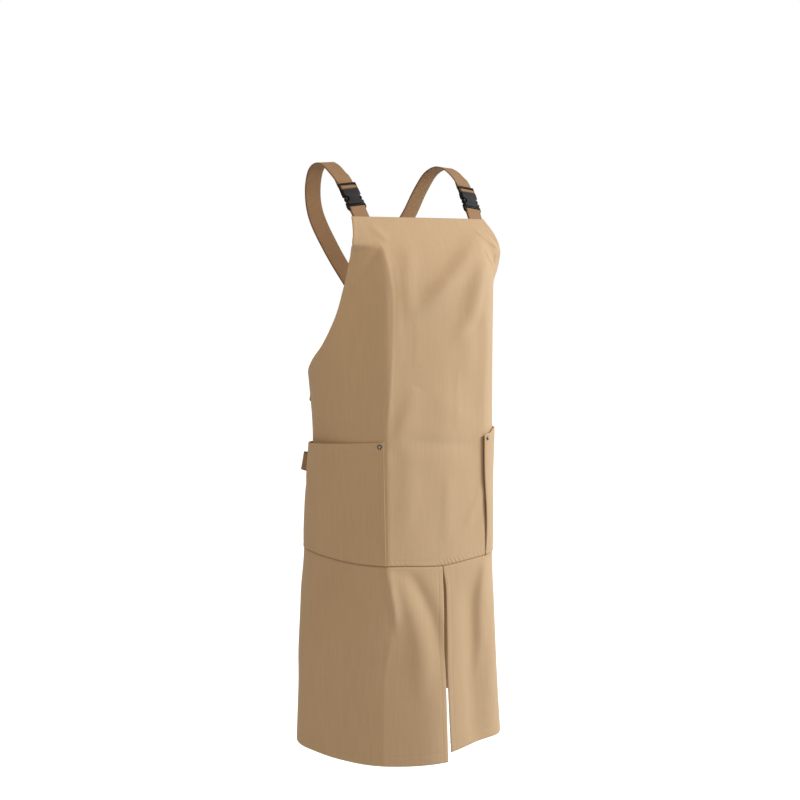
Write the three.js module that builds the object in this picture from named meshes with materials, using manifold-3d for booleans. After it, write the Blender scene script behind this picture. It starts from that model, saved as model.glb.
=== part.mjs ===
// A cotton work apron in its worn form: bib and waist panel, split skirt, hip pockets, shoulder straps
// with side-release buckles and a hip loop. Millimetres, +Z up, the wearer faces -Y and their left is +X.
// The origin lies midway between the shoulders, level with the underside of the straps at their crest.
import * as THREE from "three";
import { mergeVertices } from "three/addons/utils/BufferGeometryUtils.js";
import Module from "manifold-3d";

// Cloth and webbing
const clothThickness = 1.4;
const layerGap = 0.3;
const layerStep = clothThickness + layerGap;
const webbingWidth = 29;
const webbingThickness = 1.4;

// Panels: u is the distance along the cloth from the centre front, positive towards the wearer's left
const bodyAxisY = -34;
const bibTopZ = -86;
const armholeEndZ = -350;
const backEdgeU = 345;
const frontFaceU = 100;
const seamCentreZ = -633;
const seamLift = 17.5;
const seamReach = 165;
const seamRounding = 20;
const seamUpturn = 9;
const seamUpturnFrom = 110;
const seamUpturnTo = 250;
const seamLap = 12;
const seamAir = 0.9;

// Pockets
const pocketFront = { right: { foot: 103.5, lean: -2 }, left: { foot: 98.5, lean: 7 } };
const pocketRearU = 283;
const pocketTopZ = -432;
const pocketBulge = 10;
const pocketHeight = 195;
const frontLift = 5;
const frontLiftShare = 0.16;
const mouthDrop = { front: 1.5, rear: 9 };
const mouthRise = 8;
const mouthRiseEnd = 45;
const mouthFallStart = 90;
const mouthRipple = 1.2;
const mouthRippleReach = 40;
const mouthHalfWave = 15;
const rivetRadius = 3.6;
const rivetHeight = 1.6;
const rivetInset = 7;

// Buckles: v runs up the strap from the bib's top edge, n stands off the cloth
const tabCentreU = { right: -112, left: 120 };
const tabTuck = 15;
const buckleLean = 0.13;
const buckleMidN = -2.6;
const tabBarV = 17.2;
const barRadius = 1.2;
const femaleFootV = 24;
const femaleTopV = 51;
const centreBarV = 55;
const outerBarV = 61.8;
const bodyHalfWidth = 15.4;
const bodyHalfDepth = 4.2;
const frameHalfWidth = 16.8;
const slotHalfWidth = 15;
const shoulderHalfWidth = 18;
const buttonV = 34.5;
const buttonRadius = 5;

// Hip loop
const loopU = -303;
const loopTopZ = -463;
const loopStand = 18;
const loopFootU = 15;
const loopFootShare = 0.3;
const loopFullness = 0.6;

// Middle of the right strap over the shoulder and down the back, mirrored for the left one, and its sewn end
const strapRoute = [
  { x: -122, y: -43, z: -19.5 },
  { x: -121.5, y: -19.5, z: -4 },
  { x: -120, y: 0, z: 0.7 },
  { x: -117, y: 24, z: -8 },
  { x: -110, y: 44, z: -36 },
  { x: -96, y: 57, z: -76 },
  { x: -58, y: 65.5, z: -134 },
  { x: 0, y: 67, z: -212 },
  { x: 58, y: 65.5, z: -288 },
];
const strapEnd = [
  { u: 331, z: -352, air: 1.8 },
  { u: 319, z: -368, air: 1 },
  { u: 307, z: -384, air: 0.9 },
];
const crossing = { lift: 1.6, reach: 40 };
const strapTail = 18;
const strapRise = 7;

// Level sections of the worn cloth: its reach ahead of the body's axis at the centre front
const frontReach = [
  { z: -960, ahead: 133.5 },
  { z: -920, ahead: 131 },
  { z: -800, ahead: 124 },
  { z: -700, ahead: 118.5 },
  { z: -627, ahead: 115 },
  { z: -530, ahead: 113.5 },
  { z: -432, ahead: 112 },
  { z: -300, ahead: 111 },
  { z: -195, ahead: 108 },
  { z: -165, ahead: 103 },
  { z: -137, ahead: 92 },
  { z: -86, ahead: 60 },
  { z: -60, ahead: 44.5 },
];

// Degrees that the cloth has turned by each station along u. The right side breaks at a crease past its face,
// and its skirt swings back below the waist.
const stations = [0, 40, 94, 103, 150, 245, 345];
const turnNames = ["middle", "face", "crease", "corner", "side", "back"];
const turns = {
  right: [
    { z: -960, middle: 22, face: 31, crease: 34, corner: 48, side: 84.5, back: 172 },
    { z: -920, middle: 22, face: 31, crease: 34, corner: 48, side: 87, back: 171 },
    { z: -800, middle: 19, face: 27, crease: 31, corner: 49, side: 93, back: 166 },
    { z: -740, middle: 13, face: 20, crease: 28, corner: 53, side: 93, back: 162 },
    { z: -690, middle: 7, face: 14, crease: 32, corner: 58, side: 91.5, back: 160 },
    { z: -627, middle: 5, face: 12, crease: 38, corner: 60, side: 95, back: 160 },
    { z: -530, middle: 5, face: 12, crease: 38, corner: 58, side: 100.5, back: 160.5 },
    { z: -432, middle: 5, face: 12, crease: 38, corner: 53, side: 113, back: 163 },
    { z: -300, middle: 4.7, face: 11, crease: 38, corner: 53, side: 105, back: 161 },
    { z: -195, middle: 3.8, face: 9, crease: 36, corner: 50, side: 103, back: 160 },
    { z: -153, middle: 3, face: 7, crease: 32, corner: 44, side: 96, back: 155 },
    { z: -139, middle: 2.5, face: 6, crease: 26, corner: 34, side: 86, back: 146 },
    { z: -128, middle: 2, face: 5, crease: 9, corner: 16, side: 77, back: 139 },
    { z: -86, middle: 1.3, face: 3, crease: 4, corner: 8, side: 62, back: 122 },
    { z: -60, middle: 1.3, face: 3, crease: 4, corner: 6, side: 58, back: 118 },
  ],
  left: [
    { z: -960, middle: 5.1, face: 12, crease: 18, corner: 49, side: 81, back: 157 },
    { z: -920, middle: 5.1, face: 12, crease: 18, corner: 51, side: 82.5, back: 157.7 },
    { z: -800, middle: 5.1, face: 12, crease: 19, corner: 58, side: 86, back: 158.7 },
    { z: -700, middle: 5.1, face: 12, crease: 19, corner: 60, side: 88, back: 159 },
    { z: -627, middle: 5.1, face: 12, crease: 19, corner: 59, side: 92, back: 160 },
    { z: -530, middle: 5.1, face: 12, crease: 20, corner: 60, side: 96, back: 160.5 },
    { z: -432, middle: 5.1, face: 12, crease: 19, corner: 53, side: 105, back: 161 },
    { z: -300, middle: 4.7, face: 11, crease: 18, corner: 54, side: 105, back: 161 },
    { z: -195, middle: 3.8, face: 9, crease: 16, corner: 53, side: 103, back: 160 },
    { z: -165, middle: 3, face: 7, crease: 12, corner: 37, side: 92, back: 152 },
    { z: -137, middle: 2.1, face: 5, crease: 7, corner: 16, side: 78, back: 140 },
    { z: -86, middle: 1.3, face: 3, crease: 4, corner: 8, side: 62, back: 122 },
    { z: -60, middle: 1.3, face: 3, crease: 4, corner: 6, side: 58, back: 118 },
  ],
};

// Reach of the upper panel along the cloth at each side, from the armhole's back end up to the bib's top
const armhole = [
  { z: -350, right: 345, left: 345 },
  { z: -341, right: 310, left: 310 },
  { z: -326, right: 270, left: 270 },
  { z: -304, right: 234, left: 234 },
  { z: -284, right: 209.5, left: 211 },
  { z: -237, right: 180, left: 181 },
  { z: -193, right: 165.2, left: 167.8 },
  { z: -170, right: 157.5, left: 159.2 },
  { z: -158, right: 153.5, left: 155.5 },
  { z: -147, right: 148.6, left: 153.2 },
  { z: -137, right: 145.8, left: 153.8 },
  { z: -127, right: 144.8, left: 154 },
  { z: -116, right: 140.3, left: 151.5 },
  { z: -106, right: 136.8, left: 147.6 },
  { z: -97, right: 134, left: 142.7 },
  { z: -86, right: 131, left: 136 },
];

// Height of each skirt panel's hem along the cloth
const hems = {
  right: [
    { u: 0, z: -944.5 },
    { u: 60, z: -945.5 },
    { u: 120, z: -943 },
    { u: 180, z: -936 },
    { u: 235, z: -927 },
    { u: 345, z: -919 },
  ],
  left: [
    { u: 0, z: -931 },
    { u: 50, z: -925 },
    { u: 95, z: -921 },
    { u: 150, z: -919 },
    { u: 345, z: -872 },
  ],
};

// Soft folds: height is the ridge in mm, below zero a dent, and lean is its slant in u for each mm down
const upperFolds = [
  { u: 97, top: -190, bottom: -640, width: 15, height: 1.5, lean: 0 },
  { u: -150, top: -160, bottom: -600, width: 22, height: -2, lean: 0 },
  { u: 90, top: -120, bottom: -250, width: 24, height: 5, lean: -1.07 },
  { u: 100, top: -142, bottom: -276, width: 16, height: 3, lean: -0.42 },
  { u: 140, top: -95, bottom: -150, width: 7, height: 3, lean: 0.6 },
  { u: 10, top: -240, bottom: -560, width: 30, height: 1.5, lean: 0 },
];
const skirtFolds = [
  { u: -66, top: -622, bottom: -830, width: 11, height: -3.3, lean: 0.34 },
  { u: -78, top: -640, bottom: -870, width: 13, height: 4, lean: 0.2 },
  { u: -90, top: -622, bottom: -752, width: 9, height: 3, lean: 0.13 },
  { u: 109, top: -632, bottom: -860, width: 14, height: 4, lean: -0.18 },
  { u: 62, top: -640, bottom: -960, width: 24, height: -5, lean: 0 },
  { u: 105, top: -640, bottom: -1000, width: 26, height: 3, lean: 0.05 },
  { u: -175, top: -650, bottom: -1000, width: 32, height: -3, lean: 0 },
  { u: 230, top: -650, bottom: -1100, width: 36, height: 4, lean: 0 },
];
const foldFade = 70;

// Distance of each skirt panel's front edge from the centre front, from its top down to the hem. The right
// panel laps a little past the centre.
const slit = [
  { down: 0, right: -0.4, left: 1.4 },
  { down: 0.05, right: -1.2, left: 2.6 },
  { down: 0.17, right: -1.6, left: 7.4 },
  { down: 0.4, right: -1.2, left: 6.4 },
  { down: 0.62, right: -0.8, left: 4.7 },
  { down: 1, right: 0.3, left: 6.2 },
];

const colours = {
  twill: 0xc7a87c,
  webbing: 0xa67f5c,
  buckle: 0x232325,
  steel: 0xc9c9c6,
};

// Smooth value of one column of a table at a height or distance, through every row
function fromTable(table, keyColumn, column, at) {
  const rows = [...table].sort((a, b) => a[keyColumn] - b[keyColumn]);
  const last = rows.length - 1;
  const clamped = THREE.MathUtils.clamp(at, rows[0][keyColumn], rows[last][keyColumn]);
  let i = 0;
  while (i < last - 1 && clamped > rows[i + 1][keyColumn]) i += 1;
  const step = (name, k) => rows[k + 1][name] - rows[k][name];
  const secant = (k) => step(column, k) / step(keyColumn, k);
  const slopeAt = (k) => {
    if (k === 0) return secant(0);
    if (k === last) return secant(last - 1);
    const product = secant(k - 1) * secant(k);
    return product <= 0 ? 0 : (2 * product) / (secant(k - 1) + secant(k));
  };
  const span = step(keyColumn, i);
  const t = (clamped - rows[i][keyColumn]) / span;
  const startWeight = (1 + 2 * t) * (1 - t) ** 2;
  const endWeight = t * t * (3 - 2 * t);
  const startBend = t * (1 - t) ** 2 * span;
  const endBend = t * t * (t - 1) * span;
  const ends = startWeight * rows[i][column] + endWeight * rows[i + 1][column];
  return ends + startBend * slopeAt(i) + endBend * slopeAt(i + 1);
}

// Height of the waist seam, lowest at the centre front
function seamZ(u) {
  const away = Math.hypot(u, seamRounding) - seamRounding;
  const upturn = seamUpturn * THREE.MathUtils.smoothstep(away, seamUpturnFrom, seamUpturnTo);
  return seamCentreZ + seamLift * (1 - Math.exp(-away / seamReach)) + upturn;
}

// Sum of the folds at one place of the cloth
function foldHeight(folds, u, z) {
  let sum = 0;
  for (const fold of folds) {
    const centre = fold.u + fold.lean * (fold.top - z);
    const fade = Math.min(foldFade, (fold.top - fold.bottom) / 2);
    const across = Math.exp(-(((u - centre) / fold.width) ** 2));
    const fadeIn = THREE.MathUtils.smoothstep(fold.top - z, 0, fade);
    const fadeOut = THREE.MathUtils.smoothstep(z - fold.bottom, 0, fade);
    sum += fold.height * across * fadeIn * fadeOut;
  }
  return sum;
}

// Point of the unfolded form: the section's arcs are walked from the centre front out to u
function formPoint(u, z) {
  const table = u < 0 ? turns.right : turns.left;
  const turned = turnNames.map((name) => THREE.MathUtils.degToRad(fromTable(table, "z", name, z)));
  const headings = [0, ...turned];
  const reach = Math.abs(u);
  let x = 0;
  let ahead = fromTable(frontReach, "z", "ahead", z);
  let heading = 0;
  for (let i = 0; i + 1 < stations.length && reach > stations[i]; i += 1) {
    const full = stations[i + 1] - stations[i];
    const length = Math.min(reach, stations[i + 1]) - stations[i];
    const turn = ((headings[i + 1] - headings[i]) * length) / full;
    const radius = length / turn;
    x += radius * (Math.sin(heading + turn) - Math.sin(heading));
    ahead -= radius * (Math.cos(heading) - Math.cos(heading + turn));
    heading += turn;
  }
  const sideways = Math.sign(u) * x;
  const outward = new THREE.Vector3(Math.sign(u) * Math.sin(heading), -Math.cos(heading), 0);
  return { point: new THREE.Vector3(sideways, bodyAxisY - ahead, z), outward };
}

// Middle of the folded cloth
function midPoint(folds, u, z) {
  const { point, outward } = formPoint(u, z);
  return point.addScaledVector(outward, foldHeight(folds, u, z));
}

// Place on the cloth with its directions: along u, up and out
function clothFrame(folds, u, z) {
  const probe = 0.5;
  const along = midPoint(folds, u + probe, z).sub(midPoint(folds, u - probe, z)).normalize();
  const rise = midPoint(folds, u, z + probe).sub(midPoint(folds, u, z - probe));
  const up = rise.addScaledVector(along, -rise.dot(along)).normalize();
  const out = along.clone().cross(up);
  return { point: midPoint(folds, u, z), along, up, out };
}

function clothPoint(folds, u, z, offset) {
  const place = clothFrame(folds, u, z);
  return place.point.addScaledVector(place.out, offset);
}

// Turns a geometry's faces outwards and gives it normals
function facedOut(geometry) {
  const index = geometry.index.array;
  const position = geometry.attributes.position;
  const [a, b, c] = [new THREE.Vector3(), new THREE.Vector3(), new THREE.Vector3()];
  let volume = 0;
  for (let i = 0; i < index.length; i += 3) {
    a.fromBufferAttribute(position, index[i]);
    b.fromBufferAttribute(position, index[i + 1]);
    c.fromBufferAttribute(position, index[i + 2]);
    volume += a.dot(b.cross(c));
  }
  if (volume < 0) {
    for (let i = 0; i < index.length; i += 3) {
      [index[i + 1], index[i + 2]] = [index[i + 2], index[i + 1]];
    }
  }
  geometry.computeVertexNormals();
  return geometry;
}

function indexedGeometry(points, faces) {
  const geometry = new THREE.BufferGeometry().setFromPoints(points);
  geometry.setIndex(faces);
  return facedOut(geometry);
}

// Closed sheet: placeAt(i, j, layer) gives the outer face at layer 1 and the inner face at layer -1
function sheetGeometry(columns, rows, placeAt) {
  const points = [];
  const faces = [];
  for (const layer of [1, -1]) {
    for (let j = 0; j <= rows; j += 1) {
      for (let i = 0; i <= columns; i += 1) points.push(placeAt(i, j, layer));
    }
  }
  const inner = (columns + 1) * (rows + 1);
  const at = (i, j) => j * (columns + 1) + i;
  const quad = (p, q, r, s) => faces.push(p, q, r, p, r, s);
  for (let j = 0; j < rows; j += 1) {
    for (let i = 0; i < columns; i += 1) {
      quad(at(i, j), at(i + 1, j), at(i + 1, j + 1), at(i, j + 1));
      quad(inner + at(i, j), inner + at(i, j + 1), inner + at(i + 1, j + 1), inner + at(i + 1, j));
    }
  }
  const rim = [];
  for (let i = 0; i < columns; i += 1) rim.push(at(i, 0));
  for (let j = 0; j < rows; j += 1) rim.push(at(columns, j));
  for (let i = columns; i > 0; i -= 1) rim.push(at(i, rows));
  for (let j = rows; j > 0; j -= 1) rim.push(at(0, j));
  rim.forEach((from, k) => {
    const to = rim[(k + 1) % rim.length];
    quad(from, inner + from, inner + to, to);
  });
  return indexedGeometry(points, faces);
}

// Flat strip of webbing swept through frames of point and across
function ribbonGeometry(frames, width, thickness) {
  const points = [];
  const faces = [];
  const corners = [
    [-1, -1],
    [1, -1],
    [1, 1],
    [-1, 1],
  ];
  frames.forEach(({ point, across }, k) => {
    const before = frames[Math.max(k - 1, 0)].point;
    const after = frames[Math.min(k + 1, frames.length - 1)].point;
    const forward = after.clone().sub(before).normalize();
    const side = across.clone().addScaledVector(forward, -across.dot(forward)).normalize();
    const out = forward.clone().cross(side);
    for (const [s, o] of corners) {
      const corner = point.clone().addScaledVector(side, (s * width) / 2);
      points.push(corner.addScaledVector(out, (o * thickness) / 2));
    }
  });
  const quad = (p, q, r, s) => faces.push(p, q, r, p, r, s);
  for (let k = 0; k + 1 < frames.length; k += 1) {
    for (let c = 0; c < 4; c += 1) {
      const next = (c + 1) % 4;
      quad(4 * k + c, 4 * k + next, 4 * (k + 1) + next, 4 * (k + 1) + c);
    }
  }
  const end = 4 * (frames.length - 1);
  quad(3, 2, 1, 0);
  quad(end, end + 1, end + 2, end + 3);
  return indexedGeometry(points, faces);
}

const wasm = await Module();
wasm.setup();

function toSolid(geometry) {
  const bare = geometry.clone();
  bare.deleteAttribute("normal");
  bare.deleteAttribute("uv");
  const merged = mergeVertices(bare, 1e-4);
  const vertProperties = merged.attributes.position.array;
  const triVerts = new Uint32Array(merged.index.array);
  return new wasm.Manifold(new wasm.Mesh({ numProp: 3, vertProperties, triVerts }));
}

function toGeometry(solid) {
  const mesh = solid.getMesh();
  const geometry = new THREE.BufferGeometry();
  geometry.setAttribute("position", new THREE.BufferAttribute(new Float32Array(mesh.vertProperties), 3));
  geometry.setIndex(new THREE.BufferAttribute(new Uint32Array(mesh.triVerts), 1));
  geometry.computeVertexNormals();
  return geometry;
}

// Block with its edges eased, from low to high corners
function easedBlock(low, high, ease) {
  const shape = new THREE.Shape();
  shape.moveTo(low[0] + ease, low[1] + ease);
  shape.lineTo(high[0] - ease, low[1] + ease);
  shape.lineTo(high[0] - ease, high[1] - ease);
  shape.lineTo(low[0] + ease, high[1] - ease);
  shape.closePath();
  const bevel = { bevelEnabled: true, bevelSize: ease, bevelThickness: ease, bevelSegments: 1 };
  const geometry = new THREE.ExtrudeGeometry(shape, { depth: high[2] - low[2] - 2 * ease, ...bevel });
  return toSolid(geometry.translate(0, 0, low[2] + ease));
}

function block(low, high) {
  const size = high.map((value, k) => value - low[k]);
  const geometry = new THREE.BoxGeometry(...size);
  return toSolid(geometry.translate(low[0] + size[0] / 2, low[1] + size[1] / 2, low[2] + size[2] / 2));
}

function disc(x, y, radius, halfDepth, sides) {
  const geometry = new THREE.CylinderGeometry(radius, radius, 2 * halfDepth, sides);
  return toSolid(geometry.rotateX(Math.PI / 2).translate(x, y, 0));
}

function crossBar(v, halfLength) {
  const geometry = new THREE.CylinderGeometry(barRadius, barRadius, 2 * halfLength, 8);
  return toSolid(geometry.rotateZ(Math.PI / 2).translate(0, v, 0));
}

const apron = new THREE.Group();

function addPiece(name, geometry, colour, roughness, metalness) {
  const material = new THREE.MeshStandardMaterial({ color: colour, roughness, metalness });
  const mesh = new THREE.Mesh(geometry, material);
  mesh.name = name;
  apron.add(mesh);
  return mesh;
}

const addTwill = (name, geometry) => addPiece(name, geometry, colours.twill, 0.9, 0);
const addWebbing = (name, geometry) => addPiece(name, geometry, colours.webbing, 0.85, 0);
const addPlastic = (name, geometry) => addPiece(name, geometry, colours.buckle, 0.45, 0);
const addSteel = (name, geometry) => addPiece(name, geometry, colours.steel, 0.3, 1);

// Upper panel: columns keep their distance across the front face and spread out to the armhole or back edge
function upperPanelGeometry() {
  const faceColumns = 12;
  const wingColumns = 14;
  const waistRows = 11;
  const bibRows = 15;
  const rowCrowding = 1.35;
  const columns = faceColumns + 2 * wingColumns;
  const placeAt = (i, j, layer) => {
    const fromCentre = i - columns / 2;
    const steps = Math.abs(fromCentre);
    const bibShare = Math.max(j - waistRows, 0) / bibRows;
    const bibZ = armholeEndZ + (bibTopZ - armholeEndZ) * bibShare ** rowCrowding;
    const reach = fromTable(armhole, "z", fromCentre < 0 ? "right" : "left", bibZ);
    const wingShare = (steps - faceColumns / 2) / wingColumns;
    const faceU = (frontFaceU * steps) / (faceColumns / 2);
    const wingU = frontFaceU + (reach - frontFaceU) * wingShare;
    const u = Math.sign(fromCentre) * (wingShare <= 0 ? faceU : wingU);
    const waistZ = THREE.MathUtils.lerp(seamZ(u), armholeEndZ, Math.min(j / waistRows, 1));
    return clothPoint(upperFolds, u, j > waistRows ? bibZ : waistZ, (layer * clothThickness) / 2);
  };
  return sheetGeometry(columns, waistRows + bibRows, placeAt);
}

// Skirt panel: its top is lapped behind the upper panel, and its front edge is one side of the slit
function skirtGeometry(side, hem) {
  const columns = 24;
  const rows = 14;
  const placeAt = (i, j, layer) => {
    const share = side < 0 ? 1 - i / columns : i / columns;
    const down = 1 - j / rows;
    const gap = fromTable(slit, "down", side < 0 ? "right" : "left", down);
    const u = side * THREE.MathUtils.lerp(gap, backEdgeU, share);
    const top = seamZ(u) + seamLap;
    const z = THREE.MathUtils.lerp(top, fromTable(hem, "u", "z", Math.abs(u)), down);
    return clothPoint(skirtFolds, u, z, -clothThickness - seamAir + (layer * clothThickness) / 2);
  };
  return sheetGeometry(columns, rows, placeAt);
}

// Share of the way up a pocket
const pocketUpward = (z) => Math.max((z - pocketTopZ) / pocketHeight + 1, 0);

// Front edge of a pocket along the cloth, and the share of the way from it to the rear edge
function pocketFrontU(side, z) {
  const { foot, lean } = side < 0 ? pocketFront.right : pocketFront.left;
  return foot - lean * THREE.MathUtils.smoothstep(pocketUpward(z), 0.1, 0.75);
}

function pocketShare(u, z) {
  const front = pocketFrontU(Math.sign(u), z);
  return THREE.MathUtils.clamp((Math.abs(u) - front) / (pocketRearU - front), 0, 1);
}

// Pocket: sewn down at its front, rear and bottom edges, bulging at the hip towards its open mouth.
// The left pocket's front edge is drawn off the panel towards its top.
function pocketOffset(u, z) {
  const rearwardPower = 1.8;
  const upwardPower = 1.4;
  const share = pocketShare(u, z);
  const across = Math.sin(Math.PI * share ** rearwardPower) ** 2;
  const upward = pocketUpward(z);
  const drawn = Math.exp(-share / frontLiftShare) * THREE.MathUtils.smoothstep(upward, 0.02, 0.5);
  const lift = u < 0 ? 0 : frontLift * drawn;
  return clothThickness + seamAir + pocketBulge * across * upward ** upwardPower + lift;
}

// The right pocket's mouth slopes down to the rear, the left one's rides up in small waves behind its front corner
function pocketMouthZ(side, u) {
  const front = pocketFrontU(side, pocketTopZ);
  const from = Math.max(Math.abs(u) - front, 0);
  const length = pocketRearU - front;
  if (side < 0) return pocketTopZ - THREE.MathUtils.lerp(mouthDrop.front, mouthDrop.rear, from / length);
  const climb = THREE.MathUtils.smoothstep(from, 0, mouthRiseEnd);
  const fall = THREE.MathUtils.smoothstep(from, mouthFallStart, length);
  const ripple = Math.sin((Math.PI * from) / mouthHalfWave) * Math.exp(-from / mouthRippleReach);
  return pocketTopZ + mouthRise * climb * (1 - fall) + mouthRipple * ripple;
}

function pocketGeometry(side) {
  const columns = 14;
  const rows = 9;
  const placeAt = (i, j, layer) => {
    const share = side < 0 ? 1 - i / columns : i / columns;
    const frontU = pocketFrontU(side, pocketTopZ - pocketHeight * (1 - j / rows));
    const u = side * THREE.MathUtils.lerp(frontU, pocketRearU, share);
    const z = THREE.MathUtils.lerp(seamZ(u), pocketMouthZ(side, u), j / rows);
    return clothPoint(upperFolds, u, z, pocketOffset(u, z) + (layer * clothThickness) / 2);
  };
  return sheetGeometry(columns, rows, placeAt);
}

// Domed rivet head, set on the pocket's top front corner
function addRivet(side, name) {
  const u = side * (pocketFrontU(side, pocketTopZ) + rivetInset);
  const z = pocketMouthZ(side, u) - rivetInset;
  const rim = { radius: rivetRadius, height: 0.4 * rivetHeight };
  const crown = { radius: 0.75 * rivetRadius, height: 0.85 * rivetHeight };
  const profile = [
    new THREE.Vector2(0, 0),
    new THREE.Vector2(rim.radius, 0),
    new THREE.Vector2(rim.radius, rim.height),
    new THREE.Vector2(crown.radius, crown.height),
    new THREE.Vector2(0, rivetHeight),
  ];
  const place = clothFrame(upperFolds, u, z);
  const seat = pocketOffset(u, z) + clothThickness / 2 + 2 * layerGap;
  const rivet = addSteel(name, new THREE.LatheGeometry(profile, 12));
  rivet.position.copy(place.point.addScaledVector(place.out, seat));
  rivet.quaternion.setFromUnitVectors(new THREE.Vector3(0, 1, 0), place.out);
}

// Frame of one bib corner: across, up the strap and out, with the strap leaning a little outwards
function bibCorner(side) {
  const place = clothFrame(upperFolds, side < 0 ? tabCentreU.right : tabCentreU.left, bibTopZ);
  const up = place.up.clone().add(new THREE.Vector3(side * buckleLean, 0, 0)).normalize();
  const across = place.along.clone().addScaledVector(up, -place.along.dot(up)).normalize();
  const out = across.clone().cross(up);
  const matrix = new THREE.Matrix4().makeBasis(across, up, out).setPosition(place.point);
  const at = (v, n) => new THREE.Vector3(0, v, n).applyMatrix4(matrix);
  return { matrix, across, at };
}

// Tab: doubled webbing with an eye round the male half's bar, tucked behind the bib's top edge
function tabGeometry() {
  const half = webbingThickness;
  const eyeRadius = barRadius + layerGap;
  const outerRadius = eyeRadius + webbingThickness;
  const neck = Math.asin(half / outerRadius);
  const profile = new THREE.Shape();
  profile.moveTo(-tabTuck, -half);
  profile.lineTo(tabBarV - outerRadius * Math.cos(neck), -half);
  profile.absarc(tabBarV, 0, outerRadius, neck - Math.PI, Math.PI - neck, false);
  profile.lineTo(-tabTuck, half);
  profile.closePath();
  const eye = new THREE.Path().absarc(tabBarV, 0, eyeRadius, 0, 2 * Math.PI, true);
  profile.holes.push(eye);
  const sweep = { depth: webbingWidth, bevelEnabled: false, curveSegments: 10 };
  const geometry = new THREE.ExtrudeGeometry(profile, sweep);
  geometry.translate(0, 0, -webbingWidth / 2);
  const [x, y, z] = [new THREE.Vector3(1, 0, 0), new THREE.Vector3(0, 1, 0), new THREE.Vector3(0, 0, 1)];
  geometry.applyMatrix4(new THREE.Matrix4().makeBasis(y, z, x));
  return geometry.translate(0, 0, buckleMidN);
}

// Low and high x of a feature at one side of a buckle
const spanX = (side, from, to) => [side * from, side * to].sort((a, b) => a - b);

// Male half: loop bar, flared shoulders, two sprung prongs with side buttons and a middle guide
function maleGeometry() {
  const plateHalf = 1.9;
  const cheekHalf = 1.6;
  const shoulder = { footV: tabBarV + 4, topV: femaleFootV - 0.4, half: 2.6, ease: 0.6 };
  const prong = { inX: 7, outX: 11, topV: 44, buttonX: 10.6, buttonPlay: 0.5 };
  const guide = { half: 2.5, topV: 40 };
  const rootV = femaleFootV - 1;
  const shoulders = easedBlock(
    [-shoulderHalfWidth, shoulder.footV, -shoulder.half],
    [shoulderHalfWidth, shoulder.topV, shoulder.half],
    shoulder.ease,
  );
  let solid = crossBar(tabBarV, slotHalfWidth + barRadius).add(shoulders);
  for (const side of [-1, 1]) {
    const [cheekLow, cheekHigh] = spanX(side, slotHalfWidth, frameHalfWidth);
    solid = solid.add(block([cheekLow, tabBarV - barRadius, -cheekHalf], [cheekHigh, rootV, cheekHalf]));
    const [prongLow, prongHigh] = spanX(side, prong.inX, prong.outX);
    solid = solid.add(block([prongLow, rootV, -plateHalf], [prongHigh, prong.topV, plateHalf]));
    solid = solid.add(disc(side * prong.buttonX, buttonV, buttonRadius - prong.buttonPlay, plateHalf, 14));
  }
  solid = solid.add(block([-guide.half, rootV, -plateHalf], [guide.half, guide.topV, plateHalf]));
  return toGeometry(solid).translate(0, 0, buckleMidN);
}

// Female half: hollow body with round side notches, and two bars that the strap runs round
function femaleGeometry() {
  const cheekHalf = 1.7;
  const cheekFootV = femaleTopV - 6;
  const cheekTopV = outerBarV + barRadius;
  const cavity = { halfWidth: 13, topV: 46, half: bodyHalfDepth - 1.8 };
  const notchX = bodyHalfWidth - 0.6;
  const bodyEase = 1.1;
  let solid = easedBlock(
    [-bodyHalfWidth, femaleFootV, -bodyHalfDepth],
    [bodyHalfWidth, femaleTopV, bodyHalfDepth],
    bodyEase,
  );
  for (const side of [-1, 1]) {
    const [cheekLow, cheekHigh] = spanX(side, slotHalfWidth, frameHalfWidth);
    solid = solid.add(block([cheekLow, cheekFootV, -cheekHalf], [cheekHigh, cheekTopV, cheekHalf]));
  }
  solid = solid.add(crossBar(centreBarV, slotHalfWidth + barRadius));
  solid = solid.add(crossBar(outerBarV, frameHalfWidth));
  solid = solid.subtract(
    block([-cavity.halfWidth, femaleFootV - 1, -cavity.half], [cavity.halfWidth, cavity.topV, cavity.half]),
  );
  for (const side of [-1, 1]) {
    solid = solid.subtract(disc(side * notchX, buttonV, buttonRadius, bodyHalfDepth + 1, 16));
  }
  return toGeometry(solid).translate(0, 0, buckleMidN);
}

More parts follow.
